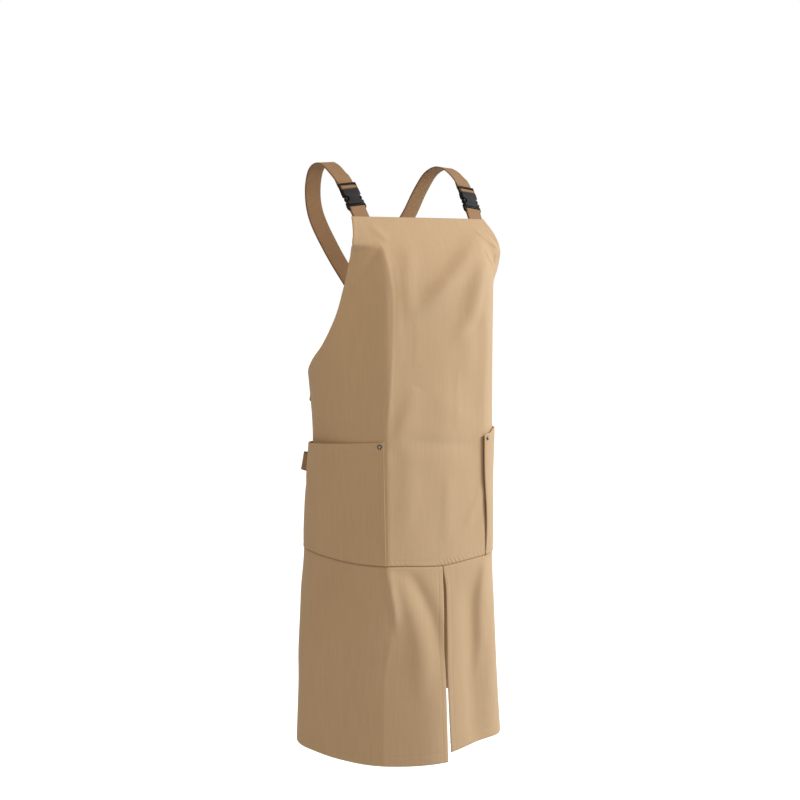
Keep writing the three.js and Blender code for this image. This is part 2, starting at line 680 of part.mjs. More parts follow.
// Strap: a hairpin round the buckle's centre bar and behind its outer bar, then its route over the shoulder,
// across the back and down to the far corner of the upper panel
function strapFrames(side) {
  const corner = bibCorner(side);
  const turn = barRadius + layerGap + webbingThickness / 2;
  const roundBar = (v, degrees) => {
    const angle = THREE.MathUtils.degToRad(degrees);
    return corner.at(v + turn * Math.cos(angle), buckleMidN + turn * Math.sin(angle));
  };
  const points = [
    corner.at(outerBarV + strapTail, buckleMidN - turn - layerStep),
    corner.at(outerBarV, buckleMidN - turn - layerStep),
    ...[270, 225, 180, 135, 90, 50].map((degrees) => roundBar(centreBarV, degrees)),
    ...[230, 270].map((degrees) => roundBar(outerBarV, degrees)),
    corner.at(outerBarV + strapRise, buckleMidN - turn),
  ];
  for (const { x, y, z } of strapRoute) {
    const lift = side * crossing.lift * Math.exp(-((x / crossing.reach) ** 2));
    points.push(new THREE.Vector3(-side * x, y + lift, z));
  }
  for (const { u, z, air } of strapEnd) {
    points.push(clothPoint(upperFolds, -side * u, z, (clothThickness + webbingThickness) / 2 + air));
  }
  const curve = new THREE.CatmullRomCurve3(points, false, "centripetal");
  const steps = 72;
  const levelled = { from: 0.5, to: 0.7 };
  const seated = { from: 0.84, to: 0.95 };
  const level = new THREE.Vector3(1, 0, 0);
  const sewn = clothFrame(upperFolds, -side * strapEnd[1].u, strapEnd[1].z).along;
  if (sewn.x < 0) sewn.negate();
  return Array.from({ length: steps + 1 }, (unused, k) => {
    const t = k / steps;
    const across = corner.across.clone();
    across.lerp(level, THREE.MathUtils.smoothstep(t, levelled.from, levelled.to));
    across.lerp(sewn, THREE.MathUtils.smoothstep(t, seated.from, seated.to)).normalize();
    return { point: curve.getPoint(t), across };
  });
}

// Hip loop: a short arch of webbing standing off the panel behind the pocket
function loopGeometry() {
  const steps = 20;
  const rest = clothThickness + seamAir;
  const frames = Array.from({ length: steps + 1 }, (unused, k) => {
    const s = (2 * k) / steps - 1;
    const rise = THREE.MathUtils.smoothstep(1 - Math.abs(s), loopFootShare, 1) ** loopFullness;
    const place = clothFrame(upperFolds, loopU + loopFootU * s, loopTopZ - webbingWidth / 2);
    const point = place.point.addScaledVector(place.out, rest + (loopStand - rest) * rise);
    return { point, across: place.up };
  });
  return ribbonGeometry(frames, webbingWidth, webbingThickness);
}

addTwill("upper_panel", upperPanelGeometry());
addWebbing("side_loop", loopGeometry());
for (const [name, side] of [["right", -1], ["left", 1]]) {
  addTwill("skirt_" + name, skirtGeometry(side, hems[name]));
  addTwill("pocket_" + name, pocketGeometry(side));
  addRivet(side, "rivet_" + name);
  addWebbing("strap_" + name, ribbonGeometry(strapFrames(side), webbingWidth, webbingThickness));
  const { matrix } = bibCorner(side);
  addWebbing("tab_" + name, tabGeometry()).applyMatrix4(matrix);
  addPlastic("buckle_male_" + name, maleGeometry()).applyMatrix4(matrix);
  addPlastic("buckle_female_" + name, femaleGeometry()).applyMatrix4(matrix);
}

export default apron;
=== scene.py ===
import math
from functools import partial

import bmesh
import bpy
import numpy as np
from mathutils import Matrix, Vector


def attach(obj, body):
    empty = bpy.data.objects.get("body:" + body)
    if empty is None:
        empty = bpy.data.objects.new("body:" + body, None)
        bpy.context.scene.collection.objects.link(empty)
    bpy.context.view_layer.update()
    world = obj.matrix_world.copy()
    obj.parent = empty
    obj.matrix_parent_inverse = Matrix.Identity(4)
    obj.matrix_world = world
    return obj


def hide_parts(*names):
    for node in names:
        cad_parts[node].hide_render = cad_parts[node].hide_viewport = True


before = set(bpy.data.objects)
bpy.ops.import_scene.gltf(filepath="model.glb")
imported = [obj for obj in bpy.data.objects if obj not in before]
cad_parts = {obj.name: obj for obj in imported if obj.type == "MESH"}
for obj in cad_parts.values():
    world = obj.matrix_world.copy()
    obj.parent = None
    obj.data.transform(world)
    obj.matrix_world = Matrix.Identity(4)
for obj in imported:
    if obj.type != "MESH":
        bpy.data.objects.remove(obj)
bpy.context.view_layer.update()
mm = 0.001
sides = {"right": -1, "left": 1}  # the wearer's
words = {side: word for word, side in sides.items()}
print("frame loaded with", len(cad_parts), "nodes")

# camera, where the photograph was taken from
cameraPlace = {"location": (-1.8617, -2.4247, -0.168), "tilt": 86.04, "turn": -38, "lens": 84.56}


def placeCamera(values):
    data = bpy.data.cameras.new("camera")
    data.lens, data.sensor_width = values["lens"], 36
    data.clip_start, data.clip_end = 0.05, 60
    camera = bpy.data.objects.new("camera", data)
    camera.location = values["location"]
    camera.rotation_euler = (math.radians(values["tilt"]), 0, math.radians(values["turn"]))
    bpy.context.scene.collection.objects.link(camera)
    bpy.context.scene.camera = camera


placeCamera(cameraPlace)
print("camera placed")

# finishes: weave, or grain and roughness; pale and deep tone, linear; bump and its depth in mm; shader values
finishes = {
    "twill": (
        "twillWeave", (0.615, 0.43, 0.255), (0.5, 0.34, 0.19), (0.35, 0.25),
        {"Sheen Weight": 0.12, "Sheen Roughness": 0.5, "Specular IOR Level": 0.25},
    ),
    "webbing": (
        "webbingRibs", (0.405, 0.232, 0.108), (0.245, 0.13, 0.051), (0.6, 0.3),
        {"Sheen Weight": 0.08, "Specular IOR Level": 0.35},
    ),
    "thread": ((2500, 0.6), (0.52, 0.36, 0.205), (0.5, 0.34, 0.19), (0.3, 0.1), {}),
    "satin": ((1600, 0.72), (0.03, 0.027, 0.027), (0.019, 0.017, 0.017), (0.25, 0.08), {"Specular IOR Level": 0.22}),
    # black plastic, glossier than the satin faces, with a darker base that is partly painted shade for the rims'
    # occlusion
    "blackPlasticAndPaintedShade": (
        (1600, 0.48), (0.012, 0.011, 0.011), (0.006, 0.0055, 0.0055), (0.1, 0.05), {"Specular IOR Level": 0.16}
    ),
    "nickel": ((1200, 0.24), (0.62, 0.6, 0.57), (0.42, 0.4, 0.37), (0.1, 0.05), {"Metallic": 1}),
    # the rivet rim's dark tone is a painted dark reflection on the bright nickel
    "rivetRimPaintedReflection": ((1200, 0.35), (0.1, 0.08, 0.06), (0.05, 0.04, 0.03), (0.1, 0.05), {"Metallic": 1}),
}


def feed(tree, node, feeds):  # a value or another node's output for each input
    for label, value in feeds.items():
        if isinstance(value, bpy.types.NodeSocket):
            tree.links.new(value, node.inputs[label])
        else:
            node.inputs[label].default_value = value


def addNode(tree, kind, at, feeds={}, **values):
    node = tree.nodes.new("ShaderNode" + kind)
    node.location = at
    for name, value in values.items():
        setattr(node, name, value)
    feed(tree, node, feeds)
    return node


def openGroup(name, inputs):  # every group blends two tones and gives colour, roughness and height
    group = bpy.data.node_groups.new(name, "ShaderNodeTree")
    for label, kind in inputs + [("Pale", "Color"), ("Deep", "Color")]:
        group.interface.new_socket(label, in_out="INPUT", socket_type="NodeSocket" + kind)
    for label, kind in (("Color", "Color"), ("Roughness", "Float"), ("Height", "Float")):
        group.interface.new_socket(label, in_out="OUTPUT", socket_type="NodeSocket" + kind)
    source = group.nodes.new("NodeGroupInput")
    source.location = (-900, 0)
    return group, source.outputs


def closeGroup(group, given, tone, roughness, height):
    tones = {"Factor": tone, 6: given["Deep"], 7: given["Pale"]}
    mix = addNode(group, "Mix", (600, 200), tones, data_type="RGBA")
    sink = group.nodes.new("NodeGroupOutput")
    sink.location = (900, 0)
    feed(group, sink, {"Color": mix.outputs[2], "Roughness": roughness, "Height": height})


def stretched(tree, source, at, stretch, kind, feeds, **values):  # a texture scaled along each axis
    turn = addNode(tree, "Mapping", at, {"Scale": stretch, "Vector": source})
    feeds = {"Scale": 1, "Vector": turn.outputs["Vector"], **feeds}
    return addNode(tree, kind, (at[0] + 200, at[1]), feeds, **values).outputs["Fac"]


def stretchedNoise(tree, source, at, stretch, detail):
    return stretched(tree, source, at, stretch, "TexNoise", {"Detail": detail})


def bands(tree, source, at, stretch, direction, distortion):
    feeds = {"Distortion": distortion, "Detail": 1}
    return stretched(tree, source, at, stretch, "TexWave", feeds, bands_direction=direction)


def weighted(tree, at, parts, start):  # start + sum of (source - 0.5) * weight
    total = start - sum(0.5 * weight for source, weight in parts)
    for step, (source, weight) in enumerate(parts):
        feeds = {0: source, 1: weight, 2: total}
        total = addNode(tree, "Math", (at[0] + 160 * step, at[1]), feeds, operation="MULTIPLY_ADD").outputs[0]
    return total


def makeTwillWeave():
    group, given = openGroup("twillWeave", [("Coordinate", "Vector")])
    place = given["Coordinate"]
    wale = bands(group, place, (-600, 500), (760, 430, 0), "DIAGONAL", 0.5)
    slub = stretchedNoise(group, place, (-600, 300), (470, 19, 1), 3)  # thick and thin warp threads
    streak = stretchedNoise(group, place, (-600, 100), (130, 7, 1), 2)
    filling = stretchedNoise(group, place, (-600, -100), (60, 900, 1), 2)
    mottle = stretchedNoise(group, place, (-600, -300), (16, 10, 1), 4)
    parts = [(wale, 0.12), (slub, 0.74), (streak, 0.18), (filling, 0.18), (mottle, 0.42)]
    tone = weighted(group, (-100, 100), parts, 0.5)
    roughness = weighted(group, (0, -200), [(mottle, 0.16), (wale, 0.05)], 0.86)
    height = weighted(group, (0, -400), [(wale, 0.5), (slub, 0.6), (filling, 0.2)], 0.5)
    closeGroup(group, given, tone, roughness, height)


def makeWebbingRibs():
    group, given = openGroup("webbingRibs", [("Coordinate", "Vector")])
    place = given["Coordinate"]
    rib = bands(group, place, (-600, 300), (0, 420, 0), "Y", 0.4)  # weft ribs across the strip
    warp = bands(group, place, (-600, 100), (270, 0, 0), "X", 0.6)  # warp ends along the strip
    fuzz = stretchedNoise(group, place, (-600, -100), (900, 500, 1), 2)
    split = addNode(group, "SeparateXYZ", (-600, -300), {0: place})
    aside = addNode(group, "Math", (-400, -300), {0: split.outputs["X"]}, operation="ABSOLUTE")
    feeds = {"Value": aside.outputs[0], "From Min": 11.5 * mm, "From Max": 14.5 * mm}
    selvedgeAndPaintedShade = addNode(group, "MapRange", (-200, -300), feeds).outputs[0]  # painted shade: darker towards both edges of the strip
    # the tone takes the painted edge shade along with the weave
    tone = weighted(group, (-100, 100), [(rib, 0.3), (warp, 0.35), (fuzz, 0.8), (selvedgeAndPaintedShade, -0.7)], 0.3)
    roughness = weighted(group, (0, -200), [(fuzz, 0.2)], 0.74)
    height = weighted(group, (0, -400), [(rib, 0.7), (warp, 0.6), (fuzz, 0.3)], 0.5)
    closeGroup(group, given, tone, roughness, height)


def makeFineGrain():
    group, given = openGroup("fineGrain", [("Grain", "Float"), ("Gloss", "Float")])
    place = addNode(group, "TexCoord", (-800, 200)).outputs["Object"]
    feeds = {"Vector": place, "Scale": given["Grain"], "Detail": 3}
    fine = addNode(group, "TexNoise", (-500, 200), feeds).outputs["Fac"]
    broad = addNode(group, "TexNoise", (-500, -100), {"Vector": place, "Scale": 90}).outputs["Fac"]
    tone = weighted(group, (-200, 100), [(fine, 0.6), (broad, 1)], 0.5)
    spread = weighted(group, (-200, -200), [(broad, 0.25), (fine, 0.15)], 0)
    rough = addNode(group, "Math", (400, -200), {0: spread, 1: given["Gloss"]}, operation="ADD")
    closeGroup(group, given, tone, rough.outputs[0], fine)


def surfaceMaterial(name, texture, pale, deep, bump, shader):
    material = bpy.data.materials.new(name)
    material.use_nodes = True
    tree = material.node_tree
    settings = {"Pale": (*pale, 1), "Deep": (*deep, 1)}
    weave = texture if isinstance(texture, str) else "fineGrain"
    if weave == texture:
        settings["Coordinate"] = addNode(tree, "UVMap", (-850, 200), uv_map="cloth").outputs["UV"]
    else:
        settings["Grain"], settings["Gloss"] = texture
    effect = addNode(tree, "Group", (-600, 200), settings, node_tree=bpy.data.node_groups[weave]).outputs
    feeds = {"Strength": bump[0], "Distance": bump[1] * mm, "Height": effect["Height"]}
    relief = addNode(tree, "Bump", (-300, -200), feeds).outputs["Normal"]
    feeds = {"Base Color": effect["Color"], "Roughness": effect["Roughness"], "Normal": relief}
    feed(tree, tree.nodes["Principled BSDF"], {**feeds, **shader})
    return material


makeTwillWeave()
makeWebbingRibs()
makeFineGrain()
materials = {name: surfaceMaterial(name, *values) for name, values in finishes.items()}
print("materials made")

# the worn form of the cloth in mm: u runs along the cloth from the centre front, to the wearer's left
form = {
    "axisY": -34, "stations": (0, 40, 94, 103, 150, 245, 345), "thickness": 1.4, "backEdgeU": 345, "bibTopZ": -86,
    "armholeEndZ": -350, "faceU": 100,
    # height and reach ahead of the axis at the centre front
    "front": [
        (-960, 133.5), (-920, 131), (-800, 124), (-700, 118.5), (-627, 115), (-530, 113.5), (-432, 112),
        (-300, 111), (-195, 108), (-165, 103), (-137, 92), (-86, 60), (-60, 44.5),
    ],
    # height, then the degrees that the cloth has turned by each station
    "turnsRight": [
        (-960, 22, 31, 34, 48, 84.5, 172), (-920, 22, 31, 34, 48, 87, 171), (-800, 19, 27, 31, 49, 93, 166),
        (-740, 13, 20, 28, 53, 93, 162), (-690, 7, 14, 32, 58, 91.5, 160), (-627, 5, 12, 38, 60, 95, 160),
        (-530, 5, 12, 38, 58, 100.5, 160.5), (-432, 5, 12, 38, 53, 113, 163), (-300, 4.7, 11, 38, 53, 105, 161),
        (-195, 3.8, 9, 36, 50, 103, 160), (-153, 3, 7, 32, 44, 96, 155), (-139, 2.5, 6, 26, 34, 86, 146),
        (-128, 2, 5, 9, 16, 77, 139), (-86, 1.3, 3, 4, 8, 62, 122), (-60, 1.3, 3, 4, 6, 58, 118),
    ],
    "turnsLeft": [
        (-960, 5.1, 12, 18, 49, 81, 157), (-920, 5.1, 12, 18, 51, 82.5, 157.7), (-800, 5.1, 12, 19, 58, 86, 158.7),
        (-700, 5.1, 12, 19, 60, 88, 159), (-627, 5.1, 12, 19, 59, 92, 160), (-530, 5.1, 12, 20, 60, 96, 160.5),
        (-432, 5.1, 12, 19, 53, 105, 161), (-300, 4.7, 11, 18, 54, 105, 161), (-195, 3.8, 9, 16, 53, 103, 160),
        (-165, 3, 7, 12, 37, 92, 152), (-137, 2.1, 5, 7, 16, 78, 140), (-86, 1.3, 3, 4, 8, 62, 122),
        (-60, 1.3, 3, 4, 6, 58, 118),
    ],
    # height, then the cloth's reach to the right and to the left, up to the bib's top
    "armhole": [
        (-350, 345, 345), (-341, 310, 310), (-326, 270, 270), (-304, 234, 234), (-284, 209.5, 211),
        (-237, 180, 181), (-193, 165.2, 167.8), (-170, 157.5, 159.2), (-158, 153.5, 155.5), (-147, 148.6, 153.2),
        (-137, 145.8, 153.8), (-127, 144.8, 154), (-116, 140.3, 151.5), (-106, 136.8, 147.6), (-97, 134, 142.7),
        (-86, 131, 136),
    ],
    "seam": {"centreZ": -633, "lift": 17.5, "reach": 165, "rounding": 20, "upturn": 9, "lap": 12},
}
halfCloth = form["thickness"] / 2


def ramp(x, low, high):  # smooth step from nothing to one
    t = np.clip((x - low) / (high - low), 0, 1)
    return t * t * (3 - 2 * t)


def curve(t, start, end, leave, arrive):  # from start to end, with the slopes at both
    ends = (1 + 2 * t) * (1 - t) ** 2 * start + t * t * (3 - 2 * t) * end
    return ends + t * (1 - t) ** 2 * leave + t * t * (t - 1) * arrive


def follow(rows, at, column=1):  # smooth curve through a table, keyed by its first column
    rows = sorted(rows)
    key = np.array([row[0] for row in rows], float)
    value = np.array([row[column] for row in rows], float)
    at = np.clip(at, key[0], key[-1])
    i = np.clip(np.searchsorted(key, at) - 1, 0, len(key) - 2)
    step = np.diff(key)
    secant = np.diff(value) / step
    product = secant[:-1] * secant[1:]
    total = np.where(product > 0, secant[:-1] + secant[1:], 1)
    middle = np.where(product > 0, 2 * product / total, 0)
    slope = np.concatenate([secant[:1], middle, secant[-1:]])
    t = (at - key[i]) / step[i]
    return curve(t, value[i], value[i + 1], step[i] * slope[i], step[i] * slope[i + 1])


def seamZ(u):
    seam = form["seam"]
    away = np.hypot(u, seam["rounding"]) - seam["rounding"]
    upturn = seam["upturn"] * ramp(away, 110, 250)
    return seam["centreZ"] + seam["lift"] * (1 - np.exp(-away / seam["reach"])) + upturn


def armholeReach(side, z):
    return np.where(side < 0, follow(form["armhole"], z), follow(form["armhole"], z, 2))


def formPoint(u, z):  # place and outward direction on the smooth form
    stations = form["stations"]
    reach, side = np.abs(u), np.sign(u)
    ahead = follow(form["front"], z)
    across, heading, start = 0, 0, 0
    for i in range(len(stations) - 1):
        full = stations[i + 1] - stations[i]
        length = np.clip(reach - stations[i], 0, full)
        right, left = (follow(form[key], z, 1 + i) for key in ("turnsRight", "turnsLeft"))
        end = np.radians(np.where(u < 0, right, left))
        turn = (end - start) * length / full
        chord = length * np.sinc(turn / 2 / np.pi)
        across = across + chord * np.cos(heading + turn / 2)
        ahead = ahead - chord * np.sin(heading + turn / 2)
        heading = heading + turn
        start = end
    outward = np.stack([side * np.sin(heading), -np.cos(heading), 0 * heading], -1)
    return np.stack([side * across, form["axisY"] - ahead, z], -1), outward


def between(z, top, bottom, fade):  # one between two heights, easing to nothing at both
    return ramp(top - z, 0, fade) * ramp(z - bottom, 0, fade)


def foldHeight(rows, u, z):  # rows: u, top, bottom, width, height, lean
    total = 0 * u
    for foldU, top, bottom, width, height, lean in rows:
        across = np.exp(-(((u - foldU - lean * (top - z)) / width) ** 2))
        total = total + height * across * between(z, top, bottom, min(70, (top - bottom) / 2))
    return total


def creaseHeight(rows, u, z):  # rows: u and z of both ends, one width or a steep and a gentle one, height
    total = 0 * u
    for fromU, fromZ, toU, toZ, *widths, height in rows:
        du, dz = toU - fromU, toZ - fromZ
        length = math.hypot(du, dz)
        along = ((u - fromU) * du + (z - fromZ) * dz) / length**2
        away = ((z - fromZ) * du - (u - fromU) * dz) / length  # above zero on the steep side, left of the way up
        across = np.exp(-((away / np.where(away > 0, widths[0], widths[-1])) ** 2))
        total = total + height * across * np.sin(np.pi * np.clip(along, 0, 1)) ** 0.7
    return total


def streakHeight(rows, u, z):  # rows: heights and places of a ridge, width at its right and left, height
    total = 0 * u
    for path, right, left, height in rows:
        top, bottom = max(path)[0], min(path)[0]
        away = u - follow(path, z)
        across = np.exp(-((away / np.where(away < 0, right, left)) ** 2))
        total = total + height * across * between(z, top, bottom, 0.4 * (top - bottom))
    return total


def sharpCrease(line, u, z):  # a pressed crease whose place along u follows the height
    away = np.abs(u - follow(line["path"], z))
    eased = np.hypot(away, line["ease"]) - line["ease"]
    return line["height"] * np.exp(-eased / line["width"]) * between(z, line["top"], line["bottom"], line["fade"])


def unit(vectors):
    return vectors / np.linalg.norm(vectors, axis=-1, keepdims=True)


def squareTo(axis, vectors):  # the direction of each vector's part square to an axis
    return unit(vectors - axis * np.sum(vectors * axis, -1, keepdims=True))


def clothFrame(relief, u, z):  # place, along, up and out on the folded cloth
    def at(uAt, zAt):
        point, outward = formPoint(uAt, zAt)
        return point + outward * relief(uAt, zAt)[..., None]

    probe = 0.5
    along = unit(at(u + probe, z) - at(u - probe, z))
    up = squareTo(along, at(u, z + probe) - at(u, z - probe))
    return at(u, z), along, up, np.cross(along, up)


def standOff(relief, u, z, offset):  # place and out at a distance from the folded cloth
    point, along, up, out = clothFrame(relief, u, z)
    return point + out * np.reshape(offset, (-1, 1)), out


def ticks(low, high, step, fine=()):  # places from low to high, closer near the fine ones
    places = [low]
    while places[-1] < high:
        here = step
        for centre, reach, fineStep in fine:
            here = min(here, fineStep + 0.35 * max(abs(places[-1] - centre) - reach, 0))
        places.append(places[-1] + here)
    places = np.array(places)
    return low + (places - low) * (high - low) / (places[-1] - low)


def placeMesh(mesh, material):
    mesh.materials.append(material)
    mesh.polygons.foreach_set("use_smooth", [True] * len(mesh.polygons))
    obj = bpy.data.objects.new(mesh.name, mesh)
    bpy.context.scene.collection.objects.link(obj)
    return obj


def newObject(name, bm, material):
    mesh = bpy.data.meshes.new(name)
    bm.to_mesh(mesh)
    bm.free()
    return placeMesh(mesh, material)


def gridSheet(name, columns, rows, placeAt, material):  # placeAt gives points and map places in mm
    bm = bmesh.new()
    bmesh.ops.create_grid(bm, x_segments=len(columns) - 1, y_segments=len(rows) - 1, size=1)
    share = np.array([v.co[:2] for v in bm.verts]) / 2 + 0.5
    column = columns[np.rint(share[:, 0] * (len(columns) - 1)).astype(int)]
    row = rows[np.rint(share[:, 1] * (len(rows) - 1)).astype(int)]
    points, flat = placeAt(column, row)
    for v, point in zip(bm.verts, points * mm):
        v.co = point
    layer = bm.loops.layers.uv.new("cloth")
    for face in bm.faces:
        for loop in face.loops:
            loop[layer].uv = flat[loop.vert.index] * mm
    return newObject(name, bm, material), flat


def giveThickness(obj, thickness, hemThickness=None, hemWeight=None):
    modifier = obj.modifiers.new("thickness", "SOLIDIFY")
    modifier.offset = -1
    modifier.thickness = (hemThickness or thickness) * mm
    if hemThickness:
        group = obj.vertex_groups.new(name="hem")
        for index in np.nonzero(hemWeight > 0.002)[0]:
            group.add([int(index)], float(hemWeight[index]), "REPLACE")
        modifier.vertex_group = "hem"
        modifier.thickness_vertex_group = thickness / hemThickness


def settle(obj, slot, *nodes):
    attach(obj, "root")
    if nodes:
        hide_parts(*nodes)
    return obj


def hemShare(distance, width):  # one on a turned hem of the given width, nothing past it
    return 1 - ramp(distance, width - 1, width + 1)


def sewnSheet(node, columns, rows, layOut, onSheet, cloth, hemWeight):
    def placeAt(column, row):
        u, z = layOut(column, row)
        return onSheet(u, z, halfCloth)[0], np.stack([u, z], -1)

    obj, flat = gridSheet(node + "_cloth", columns, rows, placeAt, materials["twill"])
    giveThickness(obj, cloth["thickness"], cloth["hemThickness"], hemWeight(*flat.T))
    return settle(obj, "twill", node)


# stitches: one small rounded thread, repeated along rows on the cloth
stitch = {"size": (2.5, 0.55, 0.5), "pitch": 3.3, "sink": 0.12}


def stitchShape():
    bm = bmesh.new()
    lie = Matrix.Diagonal((*stitch["size"], 1)) @ Matrix.Rotation(math.pi / 2, 4, "Y")
    bmesh.ops.create_uvsphere(bm, u_segments=5, v_segments=4, radius=0.5, matrix=lie)
    bm.verts.index_update()
    points = np.array([v.co[:] for v in bm.verts])
    faces = [[v.index for v in face.verts] for face in bm.faces]
    bm.free()
    return points, faces


stitchPoints, stitchFaces = stitchShape()


def lengthAlong(points):
    return np.concatenate([[0], np.cumsum(np.linalg.norm(np.diff(points, axis=0), axis=1))])


def spacedAlong(points, pitch):  # evenly spaced index shares on a dense line
    length = lengthAlong(points)
    count = max(int(length[-1] / pitch), 1)
    return np.interp((np.arange(count) + 0.5) * length[-1] / count, length, np.arange(len(points)))


def pick(values, at):  # values of a dense line at index shares
    return np.stack([np.interp(at, np.arange(len(values)), values[:, k]) for k in range(3)], -1)


def span(low, high):  # close places along a stitch row
    return np.arange(low, high, 0.7)


def sewRow(points, outs):  # stitch frames along a dense line on the cloth
    at = spacedAlong(points, stitch["pitch"])
    along = unit(pick(np.gradient(points, axis=0), at))
    out = squareTo(along, pick(outs, at))
    return pick(points, at) - out * stitch["sink"], along, np.cross(out, along), out


def sewLines(node, lines, onSheet, depth=0):  # stitches outside, and inside where a depth is given
    rows = []
    for u, z in lines:
        place, out = onSheet(u, z, halfCloth)
        rows.append(sewRow(place, out))
        if depth:
            rows.append(sewRow(place - out * depth, -out))
    points, faces = [], []
    for place, along, side, out in rows:
        axes = np.stack([along, side, out], 1)  # each stitch's own x, y and z
        for block in place[:, None, :] + np.einsum("vk,skj->svj", stitchPoints, axes):
            base = len(points) * len(stitchPoints)
            points.append(block)
            faces += [[base + k for k in face] for face in stitchFaces]
    mesh = bpy.data.meshes.new(node + "_stitches")
    mesh.from_pydata((np.concatenate(points) * mm).tolist(), [], faces)
    return settle(placeMesh(mesh, materials["thread"]), "twill")


# upper panel: bib and waist in one piece
upper = {
    "thickness": 1.3, "hemThickness": 1.85, "hem": 9, "stitchInset": 7.5, "seamRows": (2.2, 7.5),
    "folds": [(97, -190, -640, 15, 1.5, 0), (-150, -160, -600, 22, -2, 0), (10, -240, -560, 30, 1.5, 0)],
    "creases": [
        (-125, -143, 112, -129, 10, 1.9), (-106, -99, -79, -123, 7, 1.6), (103, -103, 119, -120, 2.8, 1.5),
        (115, -117, 148, -135, 2.8, 1.8), (125, -106, 153, -128, 3, -1.8), (106, -135, 112, -151, 3, 1.6),
        (109, -148, 132, -159, 3, 1.8), (131, -141, 134, -160, 4, -2), (124, -108, 148, -146, 10, 1.8),
        (-97, -133, -143, -178, 6, -1.6), (-138, -171, -158, -204, 6, -1.4), (-134, -242, -150, -302, 7, 1.4),
        (-146, -288, -157, -342, 7, 1.3), (-32, -348, 12, -386, 16, 0.6), (0, -378, 94, -424, 17, 0.9),
        (-72, -434, 82, -447, 10, -1.7), (-74, -462, 2, -466, 14, 1), (-90, -450, -48, -350, 13, 22, 2.6),
        (-82, -320, -79, -156, 5, 11, 0.7), (-49, -330, -45, -228, 5, 12, 0.4), (30, -430, 34, -316, 6, 14, 0.6),
    ],
    "streaks": [
        ([(-254, -54), (-216, -16), (-188, 13.5), (-160, 47.5), (-133, 77), (-90, 124)], 23, 32, 8.4),
        ([(-300, 28), (-261, 45.5), (-236, 64), (-217, 71.5), (-176, 85.5), (-154, 94), (-106, 112)], 19, 18, 6.8),
        ([(-400, 94), (-250, 98), (-74, 108)], 58, 24, 3.6),
        ([(-270, -59), (-213, -61), (-191, -62), (-168, -59), (-142, -53), (-106, -52)], 13, 16, 2.8),
        ([(-345, 48), (-290, 56), (-245, 62)], 24, 20, 2),
        ([(-600, -75), (-571, -71.5), (-517, -62.5), (-447, -62), (-420, -62)], 22, 19, 2.2),
        ([(-622, 9), (-545, 10), (-470, 11)], 11, 16, 1.6),
        ([(-596, 42), (-576, 52), (-520, 88), (-500, 98)], 10, 16, 1.6),
    ],
    "frontCrease": {
        "path": [(-640, -102), (-425, -101), (-352, -94), (-222, -89), (-179, -92), (-148, -95), (-128, -98)],
        "top": -122, "bottom": -700, "fade": 18, "ease": 1.2, "width": 9, "height": 1.9,
    },
    "pucker": {"height": 0.9, "wave": 8.2, "centre": 3, "reach": 6},
}


def tidyEdge(distance, inset):  # a turned hem: rolled at its edge, drawn in along its stitches
    band = 0.14 * (1 - ramp(distance, inset - 1.2, inset + 0.8))
    roll = -0.7 * (1 - ramp(distance, 0, 2)) ** 2
    return band + roll + groove(distance, inset)


def edgeDistance(u, z):  # mm from the bib's top, armhole or back edge
    slope = armholeReach(u, z + 1) - armholeReach(u, z - 1)
    fromSide = (armholeReach(u, z) - np.abs(u)) / np.sqrt(1 + (slope / 2) ** 2)
    return np.minimum(form["bibTopZ"] - z, fromSide)


def smoothUpper(u, z):
    return foldHeight(upper["folds"], u, z)


def underPocket(u, z):  # the panel that a pocket lies on
    return smoothUpper(u, z) + sharpCrease(upper["frontCrease"], u, z)


def groove(distance, inset):  # shallow line where a stitch row draws the cloth in
    return -0.22 * np.exp(-(((distance - inset) / 1.3) ** 2))


def upperRelief(u, z):
    pucker = upper["pucker"]
    above = z - seamZ(u)
    wave = np.sin(2 * np.pi * (u + 0.7 * above + 2 * np.sin(u / 19)) / pucker["wave"])
    lively = (0.6 + 0.4 * np.sin(u / 17 + 1)) * (0.25 + 0.75 * np.exp(-(((u - 50) / 65) ** 2)))
    gathered = pucker["height"] * wave * lively * np.exp(-(((above - pucker["centre"]) / pucker["reach"]) ** 2))
    sewn = tidyEdge(edgeDistance(u, z), upper["stitchInset"]) + groove(above, upper["seamRows"][1])
    creased = creaseHeight(upper["creases"], u, z) + streakHeight(upper["streaks"], u, z)
    return underPocket(u, z) + creased + gathered + sewn


onUpper = partial(standOff, upperRelief)


def makeUpper():
    faceU, endZ, topZ = form["faceU"], form["armholeEndZ"], form["bibTopZ"]
    columns = ticks(-2, 2, 0.028, [(0, 0.95, 0.0165), (-0.96, 0.04, 0.012), (-2, 0.03, 0.008), (2, 0.04, 0.008)])
    rows = ticks(0, 2, 0.0145, [(0, 0.04, 0.0055), (1, 0.03, 0.007), (1.82, 0.1, 0.0075), (2, 0.04, 0.0045)])

    def layOut(column, row):
        bibZ = endZ + (topZ - endZ) * np.clip(row - 1, 0, 1)
        wing = faceU + (armholeReach(column, bibZ) - faceU) * np.clip(np.abs(column) - 1, 0, 1)
        u = np.where(np.abs(column) <= 1, column * faceU, np.sign(column) * wing)
        waistZ = seamZ(u) + (endZ - seamZ(u)) * np.clip(row, 0, 1)
        return u, np.where(row > 1, bibZ, waistZ)

    def hemWeight(u, z):
        return hemShare(np.minimum(edgeDistance(u, z), z - seamZ(u)), upper["hem"])

    return sewnSheet("upper_panel", columns, rows, layOut, onUpper, upper, hemWeight)


